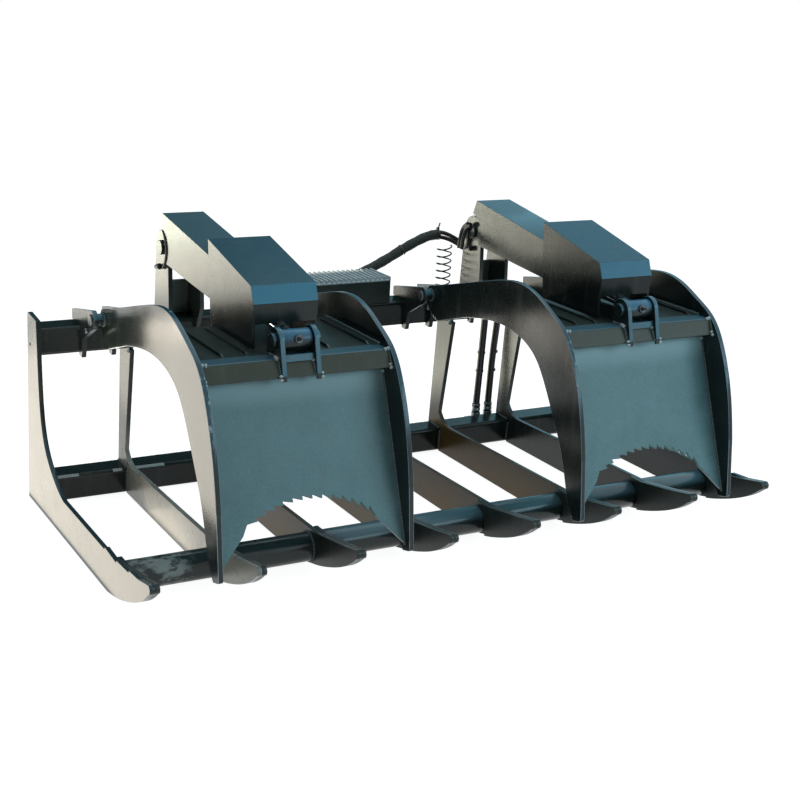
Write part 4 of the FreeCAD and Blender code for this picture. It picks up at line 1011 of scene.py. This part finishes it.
@dataclass
class WeldBeads:
    """The fillet welds of the frame and of each clamp, laid by one tree along their paths.

    Sizes are in millimetres, and spots on a clamp are reach and height, or across its middle too.
    """

    radius_mm: float = 4.6
    spacing_mm: float = 5.0
    end_radius_mm: float = 5.4
    tines: int = 8
    tube: float = 76.2
    lower: float = 5.0
    upper: float = 439.0
    plate: float = 12.7
    width: float = 1829.0
    inset: float = 8.0
    corner: float = 10.0
    foot: float = 12.0
    pipe: Pair = (738.0, 50.0)
    pipe_radius: float = 38.3
    arch_inside: float = 241.75
    ear_outside: float = 20.6
    ear_inside: float = 37.8
    # how far a crater stands out, and each one's start and end at the top tube's edges
    proud: float = 1.0
    tine_crater: Pair = (3.0, -8.0)
    ear_crater: Pair = (-18.0, 12.0)
    boss_radius: float = 16.2
    seams: tuple[tuple[Pair, Pair], ...] = (
        ((844.0, 548.0), (998.0, 136.0)),
        ((871.0, 596.0), (893.0, 554.0)),
        ((535.0, 597.0), (824.0, 597.0)),
    )
    panel_half: float = 236.0
    panel_top: Pair = (850.0, 552.5)
    ears: tuple[float, ...] = (-51.0, -38.3, 38.3, 51.0)
    ear_seams: tuple[tuple[Pair, Pair], ...] = (
        ((824.0, 597.0), (870.0, 597.0)),
        ((872.0, 594.0), (893.0, 556.0)),
    )
    craters: tuple[tuple[Point, Point], ...] = (
        ((238.75, 872.0, 597.0), (230.75, 873.0, 596.0)),
        ((238.75, 894.0, 555.0), (238.75, 889.0, 562.0)),
        ((238.75, 848.0, 545.0), (238.75, 851.0, 536.0)),
        ((53.0, 898.0, 551.0), (53.0, 895.0, 560.0)),
        ((37.0, 872.0, 597.0), (37.0, 877.0, 588.0)),
        ((53.0, 862.0, 598.0), (53.0, 872.0, 596.0)),
    )

    def lefts(self) -> list[float]:
        """Left face of each tine."""
        step = (self.width - self.plate) / (self.tines - 1)
        return [-self.width / 2 + i * step for i in range(self.tines)]

    def frame_paths(self) -> list[Path]:
        """Welds between tines, tubes and the front pipe.

        Returns:
            The paths.
        """
        paths = []
        tube, inset, corner, under = self.tube, self.inset, self.corner, self.upper
        top, above = self.lower + tube, self.upper + tube
        last = self.tines - 1
        for number, left in enumerate(self.lefts()):
            faces = (left, left + self.plate)
            if number == 0:
                faces = faces[1:]
            elif number == last:
                faces = faces[:1]
            for x in faces:
                paths.append(path(x, leaned(inset, top), leaned(tube - inset, top)))
                paths.append(path(x, leaned(tube, top - corner), leaned(tube, self.foot)))
                if number in (0, last):
                    paths.append(path(x, leaned(corner, above), leaned(tube - inset, above)))
                    paths.append(path(x, leaned(tube, above - corner),
                                      leaned(tube, under + corner)))
                paths.append(path(x, leaned(inset, under), leaned(tube - inset, under)))
                paths.append(ring(place(x, *self.pipe), self.pipe_radius * MM))
        return paths

    def frame_ends(self) -> list[Path]:
        """Craters on the frame: where the tines meet the top tube, and on the ears' feet.

        Returns:
            The paths.
        """
        ends = [leaned(self.tube, self.upper + rise) for rise in self.tine_crater]
        paths = [path(left - self.proud, *ends) for left in self.lefts()[1:-1]]
        drop, length = self.ear_crater
        reach, height = leaned(self.tube + self.proud, self.upper + self.tube + drop)
        across = (self.arch_inside + self.plate + self.ear_outside,
                  self.arch_inside - self.ear_inside)
        paths += [path(side * CLAMP_X + sign * x, (reach, height), (reach, height - length))
                  for _, side in SIDES for sign in BOTH for x in across]
        return paths

    def clamp_paths(self, side: int) -> list[Path]:
        """Welds of one clamp: panel, crossbar and deck to the arches, bosses to the arches.

        Args:
            side: -1 for the left clamp, 1 for the right.

        Returns:
            The paths.
        """
        centre = side * CLAMP_X
        paths = []
        for sign in BOTH:
            paths += [path(centre + sign * self.arch_inside, *seam) for seam in self.seams]
            for face in (self.arch_inside, self.arch_inside + self.plate):
                boss = place(centre + sign * face, *HINGE_PIN)
                paths.append(ring(boss, self.boss_radius * MM, 14))
        paths.append([place(centre + sign * self.panel_half, *self.panel_top) for sign in BOTH])
        paths += [path(centre + x, *seam) for x in self.ears for seam in self.ear_seams]
        return paths

    def clamp_ends(self, side: int) -> list[Path]:
        """Craters on one clamp: corners of the crossbar and the panel, and the clevis feet."""
        return [[place(side * CLAMP_X + sign * x, reach, height) for x, reach, height in ends]
                for sign in BOTH for ends in self.craters]

    def lay(self, name: str, body: str, paths: list[Path], end: bool) -> None:
        """Lays one set of beads and hangs it on its body.

        Args:
            name: The piece's name.
            body: The body that carries it.
            paths: The beads' paths.
            end: Whether they are the craters where beads end.
        """
        # the craters carry painted glints, the beads a painted highlight
        finish = Finish.WELD_END if end else Finish.WELD
        radius = self.end_radius_mm if end else self.radius_mm
        values = {"Bead Radius": radius * MM, "Ripple Spacing": self.spacing_mm * MM}
        piece = rope_of(name, paths)
        layer = piece.modifiers.new("bead", "NODES")
        layer.node_group = bead_tree(finish)
        for item in layer.node_group.interface.items_tree:
            if item.item_type == "SOCKET" and item.in_out == "INPUT" and item.name in values:
                layer[item.identifier] = values[item.name]
        mesh = evaluated(piece)
        piece.modifiers.clear()
        piece.data = mesh
        hang(piece, body, finish)

    def build(self) -> None:
        """Lays the beads of the frame and of both clamps."""
        self.lay("frame_weld_beads", "frame", self.frame_paths(), False)
        self.lay("frame_weld_ends", "frame", self.frame_ends(), True)
        for name, side in SIDES:
            body = "clamp_" + name
            self.lay("clamp_weld_beads_" + name, body, self.clamp_paths(side), False)
            self.lay("clamp_weld_ends_" + name, body, self.clamp_ends(side), True)


@dataclass
class HoseBundle:
    """The two clamp hoses: sleeved over the step and the spring, bare at the right cylinder."""

    route: tuple[Point, ...] = (
        (128.0, -41.3, 566.0), (209.0, -40.0, 600.0), (300.0, -30.0, 654.0),
        (385.0, -30.0, 687.0), (455.0, -28.0, 670.0), (500.0, -6.0, 634.0),
    )
    sleeved: float = 0.70
    overlap: float = 0.04
    sleeve_mm: float = 15.6
    sleeve_flat: float = 0.82
    hose_mm: float = 6.6
    apart_mm: float = 7.2
    ferrule_back: float = 0.026
    # how much, how often and from where each pucker swells the sleeve, and its turned hem
    puckers: tuple[Point, ...] = ((0.035, 0.9, 0.0), (0.02, 2.3, 1.0))
    hem: Pair = (1.05, 0.92)
    ferrule: Profile = ((0, 6.7), (1, 8.0), (6, 8.0), (7, 7.4), (12, 7.4), (13, 8.0), (18, 8.0),
                        (19, 7.0))
    # where each tie lies along the line, and its tail's length
    tie_tails: tuple[Pair, ...] = ((0.30, 0.0), (0.675, 17.0))
    tie: Profile = ((0, 0.5), (0.6, 1.4), (6.4, 1.4), (7, 0.5))
    knot_over: float = 3.9
    knot_half: Point = (4.0, 3.5, 4.0)
    tail_at: Pair = (4.5, 5.4)
    tail_half: Pair = (0.9, 2.6)
    tail_lean: float = 0.35

    def apart(self, sign: int) -> Vector:
        """How far one bare hose lies from the bundle's line."""
        return Vector((0, sign * self.apart_mm * 0.5, sign * self.apart_mm)) * MM

    def sleeve(self, line: Path) -> None:
        """The woven sleeve, puckered a little, with a turned hem where the hoses leave it.

        Args:
            line: The bundle's own line, in metres.
        """
        cut = line[:int(len(line) * self.sleeved)]
        swell = [1 + sum(much * math.sin(i * often + start) for much, often, start in self.puckers)
                 for i in range(len(cut))]
        wide = [self.sleeve_mm * share * MM for share in swell]
        wide[-2] *= self.hem[0]
        wide[-1] *= self.hem[1]
        shape = bmesh.new()
        swept(shape, cut, wide, self.sleeve_flat, steps=28)
        piece = finished("hose_sleeve_woven", shape, 60.0)
        hang(piece, "frame", Finish.SLEEVE)
        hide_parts("hose_sleeve")

    def hoses(self, line: Path) -> None:
        """The two bare hoses that come out of the sleeve.

        Args:
            line: The bundle's own line, in metres.
        """
        shape = bmesh.new()
        start = int(len(line) * (self.sleeved - self.overlap))
        for sign in BOTH:
            part = [at + self.apart(sign) for at in line[start:]]
            swept(shape, part, [self.hose_mm * MM] * len(part), steps=16)
        hang(finished("bare_clamp_hoses", shape), "frame", Finish.RUBBER)

    def fittings(self, line: Path) -> None:
        """The crimped ends of the bare hoses.

        Args:
            line: The bundle's own line, in metres.
        """
        shape = bmesh.new()
        ahead = (line[-1] - line[-3]).normalized()
        for sign in BOTH:
            foot = line[-1] + self.apart(sign) - ahead * self.ferrule_back
            lathed(shape, foot, ahead, self.ferrule, 20)
        hang(finished("bare_hose_ferrules", shape), "frame", Finish.ZINC)

    def ties(self, line: Path) -> None:
        """Nylon ties round the sleeve; the one by its end keeps a short tail.

        Args:
            line: The bundle's own line, in metres.
        """
        shape = bmesh.new()
        wide = self.sleeve_mm
        band = tuple((along, wide + more) for along, more in self.tie)
        for share, tail in self.tie_tails:
            number = int(len(line) * share)
            at = line[number]
            ahead = (line[number + 1] - line[number - 1]).normalized()
            lathed(shape, at - ahead * band[-1][0] / 2 * MM, ahead, band, 28)
            if tail:
                knot = Vector((0, 0, wide + self.knot_over)) * MM
                end = Vector((self.tail_at[0], 0, wide + self.tail_at[1] + tail / 2)) * MM
                block(shape, at + knot, self.knot_half)
                block(shape, at + end, (*self.tail_half, tail / 2),
                      Matrix.Rotation(self.tail_lean, 3, "Y"))
        hang(finished("sleeve_ties", shape), "frame", Finish.NYLON)

    def build(self) -> None:
        """Builds the whole bundle along one smooth line."""
        line = smooth_line([place(*point) for point in self.route])
        self.sleeve(line)
        self.hoses(line)
        self.fittings(line)
        self.ties(line)


@dataclass
class SupplyFittings:
    """Crimped ferrules, swivel nuts and ties on the two hoses that hang behind the frame."""

    rail_half: float = 556.0
    reach: float = -30.0
    hose_mm: float = 11.5
    top: float = 440.0
    foot: float = 78.0
    across: tuple[Pair, ...] = ((42.0, 30.0), (92.0, 76.0))
    straight: float = 0.12
    tie_heights: tuple[float, ...] = (281.0, 219.0)
    crimp: Profile = ((0, 0.4), (1.5, 2.6), (8, 2.6), (9.5, 1.6), (14, 1.6), (15.5, 2.6),
                      (23, 2.6), (25, 0.4))
    crimp_drop: float = 38.0
    crimp_rise: float = 4.0
    nut: Profile = ((0, 1.0), (1, 3.4), (11, 3.4), (12, 1.0))
    nut_drop: float = 13.0
    tie: Profile = ((0, 0.4), (0.8, 1.8), (7.2, 1.8), (8, 0.4))

    def across_at(self, pair: Pair, height: float) -> float:
        """Distance of a hose from the middle at a height.

        Args:
            pair: Its distance outside the rail at the top and at the foot.
            height: The height in millimetres.

        Returns:
            The distance in millimetres.
        """
        share = (self.top - height) / (self.top - self.foot)
        eased = min(1.0, max(0.0, (share - self.straight) / (1 - 2 * self.straight)))
        return self.rail_half + pair[0] + (pair[1] - pair[0]) * eased

    def wrap(self, shape: bmesh.types.BMesh, x: float, height: float, profile: Profile,
             steps: int = 24) -> None:
        """Adds a turned form round a hose, its profile's radii counted from the hose.

        Args:
            shape: The mesh that gets it.
            x: Distance of the hose from the middle.
            height: Height of the form's foot.
            profile: Distance up and height over the hose, in millimetres.
            steps: Corners round it.
        """
        lathed(shape, place(x, self.reach, height), UP,
               tuple((along, self.hose_mm + more) for along, more in profile), steps)

    def build(self) -> None:
        """Builds ferrules at both ends of each hose, and the light ties between."""
        metal, nylon = bmesh.new(), bmesh.new()
        for pair in self.across:
            upper, lower = self.rail_half + pair[0], self.rail_half + pair[1]
            self.wrap(metal, upper, self.top - self.crimp_drop, self.crimp)
            self.wrap(metal, upper, self.top - self.nut_drop, self.nut, 6)
            self.wrap(metal, lower, self.foot + self.crimp_rise, self.crimp)
            for height in self.tie_heights:
                foot = height - self.tie[-1][0] / 2
                self.wrap(nylon, self.across_at(pair, height), foot, self.tie)
        hang(finished("supply_hose_ferrules", metal), "frame", Finish.ZINC)
        hang(finished("supply_hose_ties", nylon), "frame", Finish.NYLON)


@dataclass
class RodEyeNipples:
    """A grease nipple on its collar on each rod eye: hexagon, neck and ball end."""

    eye_mm: float = 25.0
    sunk_mm: float = 0.6
    tilt: float = math.radians(14)
    collar: Profile = ((0, 11.0), (6, 11.0), (7, 9.6))
    collar_height: float = 0.0065
    hexagon: Profile = ((-1, 6.325), (5.75, 6.325))
    neck: Profile = ((0, 3.91), (9.2, 3.45), (11.5, 2.53), (13.225, 3.68), (15.525, 3.45),
                     (17.25, 1.61))

    def build(self) -> None:
        """Builds one nipple on each rod."""
        axis = Vector((0, -math.cos(self.tilt), math.sin(self.tilt)))
        for name, side in SIDES:
            shape = bmesh.new()
            start = place(side * CLAMP_X, *ROD_PIN) + axis * (self.eye_mm - self.sunk_mm) * MM
            seat = start + axis * self.collar_height
            lathed(shape, start, axis, self.collar, 20)
            lathed(shape, seat, axis, self.hexagon, 6)
            lathed(shape, seat, axis, self.neck, 14)
            hang(finished("rod_eye_nipple_" + name, shape), "rod_body_" + name, Finish.IRON)


@dataclass
class GuardShadeArcsAndPorts:
    """Dark arcs round the rear guards' cut-outs, standing for the shade there, and the fittings of
    the rear ports.
    """

    inside: float = 53.2
    plate: float = 6.35
    radius: float = 57.0
    turn_from: float = 66.0
    turn_to: float = -62.0
    steps: int = 22
    thick_mm: float = 4.6
    thinned_mm: float = 2.6
    # the port's end from the guard's left face and the lowest spot of the dark arc
    port_at: Point = (-1.0, -8.0, 2.0)
    port_axis: Point = (0.0, 1.0, -0.25)
    port: Profile = ((-16, 6), (-15, 8.5), (-2, 8.5), (0, 6.5), (14, 6.5), (16, 5))
    elbow: tuple[Pair, ...] = ((44.0, 652.0), (48.0, 686.0), (62.0, 722.0), (88.0, 735.0))
    elbow_steps: tuple[float, ...] = (0, 15)
    elbow_out: float = 8.0
    elbow_mm: float = 6.4

    def painted_shade_arc(self, shape: bmesh.types.BMesh, x: float) -> None:
        """One dark arc on an outer face, standing for shade, thinner towards its ends.

        Args:
            shape: The mesh that gets it.
            x: The face's distance across.
        """
        shares = [i / self.steps for i in range(self.steps + 1)]
        turns = [math.radians(self.turn_from + (self.turn_to - self.turn_from) * share)
                 for share in shares]
        line = [place(x, BASE_PIN[0] + self.radius * math.cos(t),
                      BASE_PIN[1] + self.radius * math.sin(t)) for t in turns]
        wide = [(self.thick_mm - self.thinned_mm * abs(2 * share - 1) ** 3) * MM
                for share in shares]
        swept(shape, line, wide, steps=10)

    def build(self) -> None:
        """Builds the dark arcs that stand for shade, the ports' ends and the right cylinder's two
        elbows.
        """
        for name, side in SIDES:
            shape = bmesh.new()
            left = side * CLAMP_X - self.inside - self.plate
            right = left + 2 * (self.inside + self.plate)
            # the photograph shows none on the right guard's left face
            for x in (left, right) if side < 0 else (right,):
                # a dark arc standing for the shade in the gap round the cut-out
                self.painted_shade_arc(shape, x)
            across, ahead, over = self.port_at
            foot = place(left + across, BASE_PIN[0] + ahead, BASE_PIN[1] - self.radius + over)
            lathed(shape, foot, Vector(self.port_axis), self.port, 16)
            piece = finished("guard_shade_arc_and_port_" + name, shape)
            hang(piece, "barrel_body_" + name, Finish.NYLON)
        elbows = bmesh.new()
        x = CLAMP_X - self.inside - self.plate - self.elbow_out
        for step in self.elbow_steps:
            line = smooth_line([place(x, reach + step, height) for reach, height in self.elbow], 6)
            swept(elbows, line, [self.elbow_mm * MM] * len(line), steps=14)
        hang(finished("rear_port_elbows", elbows), "barrel_body_right", Finish.RUBBER)


@dataclass
class Lamp:
    """One soft rectangular lamp of plain brightness, which shines up where it has no aim."""

    name: str
    at: Point
    size: Pair
    radiance: float
    colour: str
    aim: Point | None = None

    def build(self) -> None:
        """Adds the lamp; its power comes from its brightness and its area."""
        data = bpy.data.lights.new(self.name, "AREA")
        data.shape = "RECTANGLE"
        data.size, data.size_y = self.size
        data.energy = self.radiance * math.pi * self.size[0] * self.size[1]
        data.color = linear(self.colour)[:3]
        lamp = linked(self.name, data)
        lamp.location = self.at
        lamp.rotation_euler = (math.pi, 0, 0)
        if self.aim:
            way = Vector(self.aim) - Vector(self.at)
            lamp.rotation_euler = way.to_track_quat("-Z", "Y").to_euler()
        lamp.visible_camera = False


def seen(tree: Tree) -> Socket:
    """One where a camera, glossy or transmission ray looks, for the white backdrop.

    Args:
        tree: The tree of a material or of the world.

    Returns:
        The socket that gives it.
    """
    rays = node(tree, "ShaderNodeLightPath").outputs
    share = rays["Is Camera Ray"]
    for name in ("Is Glossy Ray", "Is Transmission Ray"):
        share = node(tree, "ShaderNodeMath", {0: share, 1: rays[name]},
                     operation="MAXIMUM").outputs[0]
    return share


@dataclass(frozen=True)
class FloorFinish(Surface):
    """A plain pale floor that fades to white and keeps a soft shadow."""

    colour: str = "#dcdcdc"
    glow: float = 0.92

    def shader(self, tree: Tree) -> Socket:
        """Matte, with a glow that only what looks at it sees.

        Args:
            tree: The material's tree.

        Returns:
            The closure.
        """
        matte = node(tree, "ShaderNodeBsdfDiffuse", {"Color": self.colour}).outputs[0]
        light = node(tree, "ShaderNodeEmission", {"Color": "#ffffff", "Strength": self.glow})
        both = node(tree, "ShaderNodeAddShader", {0: matte, 1: light.outputs[0]})
        return node(tree, "ShaderNodeMixShader",
                    {0: seen(tree), 1: matte, 2: both.outputs[0]}).outputs[0]


@dataclass(frozen=True)
class SkyFinish(Surface):
    """Blue light, brighter to the right."""

    colour: str = "#93c4d4"
    across: Pair = (1.5, 4.5)
    strength: Pair = (0.12, 1.5)

    def shader(self, tree: Tree) -> Socket:
        """A glow that grows to the right.

        Args:
            tree: The material's tree.

        Returns:
            The closure.
        """
        bright = Ramp(Read.PLACE, "X", self.across, self.strength)
        share = bright.share(tree, node(tree, "ShaderNodeTexCoord"))
        return node(tree, "ShaderNodeEmission",
                    {"Color": self.colour, "Strength": share}).outputs[0]


@dataclass
class Studio:
    """Floor, backdrop, lamps and the camera."""

    camera_at: Point = (-1.8975, -3.3090, 1.4773)
    right: Point = (0.8735, -0.4843, 0.0482)
    up: Point = (0.0998, 0.2753, 0.9562)
    forward: Point = (0.4764, 0.8305, -0.2889)
    lens_mm: float = 64.355
    floor_half: float = 30.0
    floor_height: float = -0.0005
    card: tuple[Point, ...] = ((-3, 5, 0.3), (9, 5, 0.3), (9, 5, 7.5), (-3, 5, 7.5))
    # soft warm patches low behind the bucket, which its left faces mirror, and two cool lamps
    lamps: tuple[Lamp, ...] = (
        Lamp("warm_bounce_near", (-1.785, 0.70, 0.004), (1.73, 2.6), 2.5, "#fff2dc"),
        Lamp("warm_bounce_strip", (-2.08, 2.15, 0.004), (1.15, 0.30), 6.3, "#fff2dc"),
        Lamp("warm_bounce_mid", (-1.775, 3.30, 0.004), (2.25, 1.1), 4.0, "#fbf3dc"),
        Lamp("warm_bounce_far", (-2.05, 4.80, 0.004), (2.2, 1.6), 11.5, "#f3f5dc"),
        Lamp("warm_bounce_bay", (-0.776, 0.06, 0.004), (0.22, 0.36), 1.3, "#fbf1e2"),
        Lamp("warm_bounce_behind", (0.20, 1.63, 0.004), (1.50, 1.34), 6.2, "#f6f3dc"),
        Lamp("cool_top", (0.2, 0.9, 3.2), (3.0, 2.4), 1.1, "#c0dcea", (0.0, 0.0, 0.3)),
        Lamp("cool_front", (2.1, -3.5, 1.85), (3.2, 1.2), 5.2, "#a8d0df", (0.2, -0.3, 0.4)),
    )

    def build(self) -> None:
        """Builds the whole studio."""
        self.floor()
        self.sky_card()
        self.world()
        for lamp in self.lamps:
            lamp.build()
        self.camera()
        bpy.context.scene.view_settings.view_transform = "Standard"
        log.info("studio: %d lamps", len(self.lamps))

    def sheet(self, name: str, corners: Iterable[Point], finish: Surface) -> bpy.types.Object:
        """A flat backdrop.

        Args:
            name: Its name.
            corners: Its four corners.
            finish: Its finish.

        Returns:
            The backdrop.
        """
        mesh = bpy.data.meshes.new(name)
        mesh.from_pydata(list(corners), [], [(0, 1, 2, 3)])
        mesh.materials.append(finish.make())
        return linked(name, mesh)

    def floor(self) -> None:
        """The floor, just under the bucket."""
        half, height = self.floor_half, self.floor_height
        corners = [(x * half, y * half, height) for x, y in ((-1, -1), (1, -1), (1, 1), (-1, 1))]
        piece = self.sheet("studio_floor", corners, FloorFinish("pale_studio_floor"))

    def sky_card(self) -> None:
        """A blue card far behind that the top faces reflect, and nothing else sees."""
        piece = self.sheet("sky_card", self.card, SkyFinish("blue_sky_card"))
        piece.visible_camera = False
        piece.visible_shadow = False
        piece.visible_diffuse = False

    def world(self) -> None:
        """White behind the object, a dimmer light on it."""
        world = bpy.data.worlds.new("studio_world")
        bpy.context.scene.world = world
        world.use_nodes = True
        tree = world.node_tree
        tree.nodes.clear()
        dim = node(tree, "ShaderNodeBackground", {"Color": "#c9d6dc", "Strength": 0.28})
        white = node(tree, "ShaderNodeBackground", {"Color": "#ffffff", "Strength": 1.0})
        mixed = node(tree, "ShaderNodeMixShader",
                     {0: seen(tree), 1: dim.outputs[0], 2: white.outputs[0]})
        node(tree, "ShaderNodeOutputWorld", {"Surface": mixed.outputs[0]})

    def camera(self) -> None:
        """The camera at the photograph's angle."""
        data = bpy.data.cameras.new("camera")
        data.sensor_width = 36.0
        data.lens = self.lens_mm
        data.clip_end = 100.0
        camera = linked("camera", data)
        turn = Matrix((self.right, self.up, tuple(-v for v in self.forward))).transposed()
        camera.matrix_world = Matrix.Translation(self.camera_at) @ turn.to_4x4()
        bpy.context.scene.camera = camera


def main() -> None:
    """Builds every piece, then the studio."""
    Steelwork().build()
    WeldBeads().build()
    HoseBundle().build()
    SupplyFittings().build()
    RodEyeNipples().build()
    GuardShadeArcsAndPorts().build()
    Studio().build()


if __name__ == "__main__":
    main()
